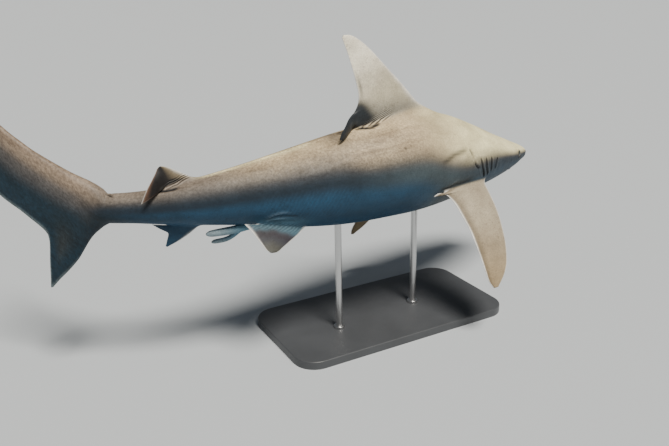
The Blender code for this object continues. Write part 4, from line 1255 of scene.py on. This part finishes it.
def floor_material(look):
    """Plain pale paper."""
    return Mixer("floor_paper").end(Base_Color=look.floor_colour, Roughness=0.9)


# ---- eyes and stand -------------------------------------------------------
SHARP = math.radians(30.0)    # edges sharper than this stay crisp
ROD_EXTRA = 0.001             # how much longer a rod is than its solid, half of it inside the belly, m
COLLAR_SPREAD = 1.7           # radius of a rod's collar against the rod's
COLLAR_RIM = 0.0012           # rounding of the collar's upper rim, m


def apply_place():
    """Bring the place, turn and size of the chosen piece into its mesh."""
    bpy.ops.object.transform_apply(location=True, rotation=True, scale=True)


def settle(name, material):
    """Finish the piece that was just modelled: apply its place, name it, give it its material."""
    apply_place()
    piece = bpy.context.object
    piece.name = piece.data.name = name
    piece.data.materials.append(material)
    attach(piece, "root")
    return piece


def make_eye(side, material):
    """One eyeball, set deep behind its lids, with the direction of every point stored for the iris."""
    centre, out, ahead, up = eye_frame(side)
    aim = Matrix((ahead, up, np.cross(ahead, up))).transposed().to_euler()
    bpy.ops.mesh.primitive_uv_sphere_add(segments=72, ring_count=40, radius=EYE_RADIUS, location=centre,
                                         rotation=aim)
    bpy.ops.object.shade_smooth()
    eye = settle("eyeball_left" if side > 0 else "eyeball_right", material)
    spots = np.array([vertex.co for vertex in eye.data.vertices]) - centre
    gaze = np.column_stack([spots @ ahead, spots @ up, spots @ out]) / EYE_RADIUS
    layer = eye.data.attributes.new("gaze", "FLOAT_VECTOR", "POINT")
    layer.data.foreach_set("vector", gaze.astype(np.float32).ravel())
    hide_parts("eye_left" if side > 0 else "eye_right")


def bevel_edges(chosen, offset, segments):
    """Round the edges of the active piece that a test picks by their two ends."""
    data = bpy.context.object.data
    bpy.ops.object.mode_set(mode="EDIT")
    bpy.ops.mesh.select_mode(type="EDGE")
    bpy.ops.mesh.select_all(action="DESELECT")
    bpy.ops.object.mode_set(mode="OBJECT")
    for edge in data.edges:
        first, second = (data.vertices[number].co for number in edge.vertices)
        edge.select = bool(chosen(first, second))
    bpy.ops.object.mode_set(mode="EDIT")
    bpy.ops.mesh.bevel(offset=offset, segments=segments, affect="EDGES")
    bpy.ops.object.mode_set(mode="OBJECT")


def at_level(top):
    """Test for edges that lie flat at a height."""
    return lambda first, second: max(abs(first.z - top), abs(second.z - top)) < 1e-5


def make_base(look, material):
    """The flat plate, with round corners and a softened rim."""
    low, high = (np.array(corner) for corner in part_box("stand_base"))
    bpy.ops.mesh.primitive_cube_add(size=1.0, location=(low + high) / 2)
    bpy.context.object.dimensions = high - low
    apply_place()
    bevel_edges(lambda a, b: abs(a.z - b.z) > 0.01, look.corner, 20)
    bevel_edges(at_level(float(high[2])), look.rim, 4)
    bpy.ops.object.shade_smooth_by_angle(angle=SHARP)
    base = settle("stand_base_plate", material)
    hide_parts("stand_base")


def make_rod(node, look, material):
    """One rod that stands in a low collar on the plate and reaches the belly."""
    low, high = (np.array(corner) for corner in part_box(node))
    middle = (low + high) / 2
    bpy.ops.mesh.primitive_cylinder_add(vertices=64, radius=look.rod_radius,
                                        depth=float(high[2] - low[2]) + ROD_EXTRA, location=middle)
    rod = bpy.context.object
    bpy.ops.mesh.primitive_cylinder_add(vertices=64, radius=look.rod_radius * COLLAR_SPREAD,
                                        depth=look.collar_height,
                                        location=(middle[0], middle[1], low[2] + look.collar_height / 2))
    collar = bpy.context.object
    apply_place()
    bevel_edges(at_level(float(low[2]) + look.collar_height), COLLAR_RIM, 3)
    bpy.ops.object.select_all(action="DESELECT")
    rod.select_set(True)
    collar.select_set(True)
    bpy.context.view_layer.objects.active = rod
    bpy.ops.object.join()
    bpy.ops.object.shade_smooth_by_angle(angle=SHARP)
    piece = settle(node + "_steel", material)
    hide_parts(node)


# ---- stage ----------------------------------------------------------------
CAMERA_PLACE = (-1.0050, -1.5799, 0.9849)
CAMERA_TURN = (-28.56, 20.44, 1.05)   # degrees: turn about the upright, dip, roll
CAMERA_LENS = 38.94           # mm
ROOM_COLOUR = (0.78, 0.86, 0.95, 1.0)
LIGHT_AIM = (0.0, 0.0, 0.4)
# place, colour and softness of the lights: the sun's angle in radians, the front panel's width in m
OVERHEAD = ((0.1, -2.3, 4.5), (1.0, 0.95, 0.86), 0.35)
FRONT = ((0.6, -3.0, 1.8), (0.92, 0.97, 1.0), 2.0)


def add_camera():
    """Camera at the given viewing angle."""
    turn, dip, roll = (math.radians(v) for v in CAMERA_TURN)
    data = bpy.data.cameras.new("camera")
    data.sensor_width = 36.0
    data.lens = CAMERA_LENS
    camera = add_object("camera", data)
    aim = Matrix.Rotation(turn, 4, "Z") @ Matrix.Rotation(math.pi / 2 - dip, 4, "X")
    camera.matrix_world = Matrix.Translation(CAMERA_PLACE) @ aim @ Matrix.Rotation(-roll, 4, "Z")
    bpy.context.scene.camera = camera


def add_light(name, kind, strength, spec, softness):
    """One soft light; softness names the setting that makes it so."""
    data = bpy.data.lights.new(name, kind)
    data.energy = strength
    spot, data.color, amount = spec
    setattr(data, softness, amount)
    light = add_object(name, data)
    light.location = spot
    light.rotation_euler = (Vector(LIGHT_AIM) - Vector(spot)).to_track_quat("-Z", "Y").to_euler()


# ---- settings, operators and panel ----------------------------------------
def colour_setting(name, about, value):
    """A colour in the sidebar."""
    return FloatVectorProperty(name=name, description=about, default=value, subtype="COLOR", min=0.0, max=1.0)


def number_setting(name, about, value, low=0.0, **limits):
    """A number in the sidebar."""
    return FloatProperty(name=name, description=about, default=value, min=low, **limits)


def setting_names(settings):
    """Names of the settings in a group."""
    return [name for name in settings.bl_rna.properties.keys() if name not in ("rna_type", "name")]


class SharkSkinSettings(bpy.types.PropertyGroup):
    """Colours and finish of the skin."""
    snout: colour_setting("Snout", "Head and snout", (0.760, 0.700, 0.430))
    back: colour_setting("Back", "Top of the trunk", (0.430, 0.345, 0.225))
    flank: colour_setting("Flank", "Side of the trunk", (0.105, 0.088, 0.073))
    tail: colour_setting("Tail", "Tail stock and the back edge of the tail fin", (0.220, 0.182, 0.150))
    # painted shade on the low part of the tail fin and under the tail stock
    low_tail_shade: colour_setting("Lower tail", "Low part of the tail fin", (0.006, 0.022, 0.038))
    tail_rim: colour_setting("Tail rim", "Rear edge of the tail fin", (0.240, 0.300, 0.320))
    # painted shade along the side line, and in the clasper's groove
    edge: colour_setting("Side line", "Dark band where the flank turns to the belly", (0.011, 0.021, 0.034))
    # painted shade low on the side over the pectoral fins
    shoulder_shade: colour_setting("Shoulder", "Side of the body over the pectoral fins", (0.044, 0.062, 0.072))
    # painted shade under the head
    throat_shade: colour_setting("Throat", "Underside of the head", (0.008, 0.034, 0.064))
    # painted shade under the trunk, dark blue as in shade; also on the anal fin
    belly: colour_setting("Belly", "Underside of the trunk", (0.010, 0.046, 0.092))
    fin: colour_setting("First dorsal fin", "Middle of the first dorsal fin", (0.500, 0.455, 0.340))
    # painted light at the tip of the first dorsal fin
    fin_tip_light: colour_setting("Fin tip", "Tip of the first dorsal fin", (0.960, 0.900, 0.740))
    fin_low: colour_setting("Fin foot", "Foot of the first dorsal fin", (0.240, 0.230, 0.195))
    # painted shade on the free rear lobes; tinted, also the ground of the second dorsal and anal fins, partly
    # their own dark colour and partly painted shade
    fin_shade: colour_setting("Fin lobes", "Free rear lobes of the fins on the back", (0.013, 0.019, 0.027))
    pectoral: colour_setting("Pectoral fins", "Pectoral fins", (0.360, 0.310, 0.230))
    pelvic: colour_setting("Pelvic fins", "Middle of the pelvic fins", (0.020, 0.021, 0.027))
    # partly the fins' own pale margins, partly a painted highlight along their edges
    rim: colour_setting("Fin rims", "Pale rims of the fins", (0.780, 0.770, 0.740))
    clasper: colour_setting("Claspers", "Claspers", (0.150, 0.310, 0.420))
    # painted shade in slits, mouth, folds, pleats and behind the lids, and the dark of scars
    crease: colour_setting("Creases", "Gill slits, mouth and deep folds", (0.004, 0.004, 0.005))
    # painted highlight on ridges, lips and pleats
    ridge_highlight: colour_setting("Ridges", "Pale ridges between folds", (0.560, 0.530, 0.460))
    mottling: number_setting("Mottling", "Strength of the cloudy tones", 0.6, max=1.0)
    freckles: number_setting("Freckles", "Strength of the small dark spots", 0.55, max=1.0)
    roughness: number_setting("Roughness", "Roughness of the hide", 0.54, 0.1, max=0.9)
    fold_depth: number_setting("Fold depth", "Depth of gills, creases and folds", 1.0, max=1.5)


class SharkEyeSettings(bpy.types.PropertyGroup):
    """Look of the eyes."""
    iris: colour_setting("Iris", "Iris of the eyes", (0.055, 0.060, 0.046))
    pupil: number_setting("Pupil", "Half width of the slit, as a share of the eyeball's radius", 0.13, 0.02,
                          max=0.5)


class SharkStandSettings(bpy.types.PropertyGroup):
    """Sizes and finish of the stand."""
    corner: number_setting("Corner radius", "Radius of the plate's corners", 0.060, unit="LENGTH")
    rim: number_setting("Rim", "Rounding of the plate's upper rim", 0.003, unit="LENGTH")
    rod_radius: number_setting("Rod radius", "Radius of the rods", 0.009, 0.002, unit="LENGTH")
    collar_height: number_setting("Collar height", "Height of the collar at each rod's foot", 0.007, 0.001,
                                  unit="LENGTH")
    base_colour: colour_setting("Plate", "Paint of the plate", (0.050, 0.053, 0.058))
    rod_colour: colour_setting("Rods", "Steel of the rods", (0.640, 0.640, 0.640))
    rod_roughness: number_setting("Rod roughness", "Roughness of the steel", 0.30, 0.1, max=0.9)


class SharkStageSettings(bpy.types.PropertyGroup):
    """Floor and light."""
    floor_colour: colour_setting("Floor", "Colour of the floor", (0.470, 0.500, 0.530))
    overhead: number_setting("Overhead light", "Strength of the broad light above", 5.6)
    front: number_setting("Front light", "Strength of the light in front, in watts", 6.0)
    room: number_setting("Room light", "Strength of the light all round", 0.14)


class SHARK_OT_skin(bpy.types.Operator):
    """Make the skin of the shark, with its fins, claspers and lids"""
    bl_idname = "shark.skin"
    bl_label = "Skin"

    def execute(self, context):
        look = context.scene.shark_skin
        skin, hide, values = make_skin(look)
        paint_skin(skin, hide, values, look)
        skin.data.materials.append(skin_material(look))
        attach(skin, "root")
        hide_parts(*FLESH)
        return {"FINISHED"}


class SHARK_OT_eyes(bpy.types.Operator):
    """Make both eyeballs"""
    bl_idname = "shark.eyes"
    bl_label = "Eyes"

    def execute(self, context):
        material = eye_material(context.scene.shark_eyes)
        make_eye(1, material)
        make_eye(-1, material)
        return {"FINISHED"}


class SHARK_OT_stand(bpy.types.Operator):
    """Make the display stand: a flat plate and two rods"""
    bl_idname = "shark.stand"
    bl_label = "Stand"

    def execute(self, context):
        look = context.scene.shark_stand
        make_base(look, base_material(look))
        steel = rod_material(look)
        make_rod("stand_rod_front", look, steel)
        make_rod("stand_rod_rear", look, steel)
        return {"FINISHED"}


class SHARK_OT_stage(bpy.types.Operator):
    """Make the floor, the lights and the camera"""
    bl_idname = "shark.stage"
    bl_label = "Stage"

    def execute(self, context):
        look = context.scene.shark_stage
        bpy.ops.mesh.primitive_plane_add(size=200.0, location=(0.0, 0.0, 0.0))
        floor = context.object
        floor.name = "floor"
        floor.data.materials.append(floor_material(look))
        world = bpy.data.worlds.new("room")
        context.scene.world = world
        world.use_nodes = True
        room = world.node_tree.nodes["Background"]
        room.inputs["Color"].default_value = ROOM_COLOUR
        room.inputs["Strength"].default_value = look.room
        add_light("overhead", "SUN", look.overhead, OVERHEAD, "angle")
        add_light("front", "AREA", look.front, FRONT, "size")
        add_camera()
        return {"FINISHED"}


class SHARK_PT_panel(bpy.types.Panel):
    """Settings and buttons in the sidebar"""
    bl_label = "Shark"
    bl_idname = "SHARK_PT_panel"
    bl_space_type = "VIEW_3D"
    bl_region_type = "UI"
    bl_category = "Shark"

    def draw(self, context):
        for group, operator in GROUPS:
            box = self.layout.box()
            settings = getattr(context.scene, group)
            for name in setting_names(settings):
                box.prop(settings, name)
            box.operator(operator)


GROUPS = (("shark_skin", "shark.skin"), ("shark_eyes", "shark.eyes"), ("shark_stand", "shark.stand"),
          ("shark_stage", "shark.stage"))
SETTINGS = (SharkSkinSettings, SharkEyeSettings, SharkStandSettings, SharkStageSettings)
CLASSES = SETTINGS + (SHARK_OT_skin, SHARK_OT_eyes, SHARK_OT_stand, SHARK_OT_stage, SHARK_PT_panel)


def register():
    """Make the settings, operators and panel known."""
    for item in CLASSES:
        bpy.utils.register_class(item)
    for (group, _), settings in zip(GROUPS, SETTINGS):
        setattr(bpy.types.Scene, group, PointerProperty(type=settings))


def unregister():
    """Take them away again."""
    for group, _ in GROUPS:
        delattr(bpy.types.Scene, group)
    for item in reversed(CLASSES):
        bpy.utils.unregister_class(item)


def run(operator):
    """Call one operator, and stop if it fails."""
    if operator() != {"FINISHED"}:
        raise RuntimeError("an operator of the shark didn't finish")


def main():
    """Build the shark on its stand."""
    register()
    run(bpy.ops.shark.skin)
    run(bpy.ops.shark.eyes)
    run(bpy.ops.shark.stand)
    run(bpy.ops.shark.stage)


if __name__ == "__main__":
    main()
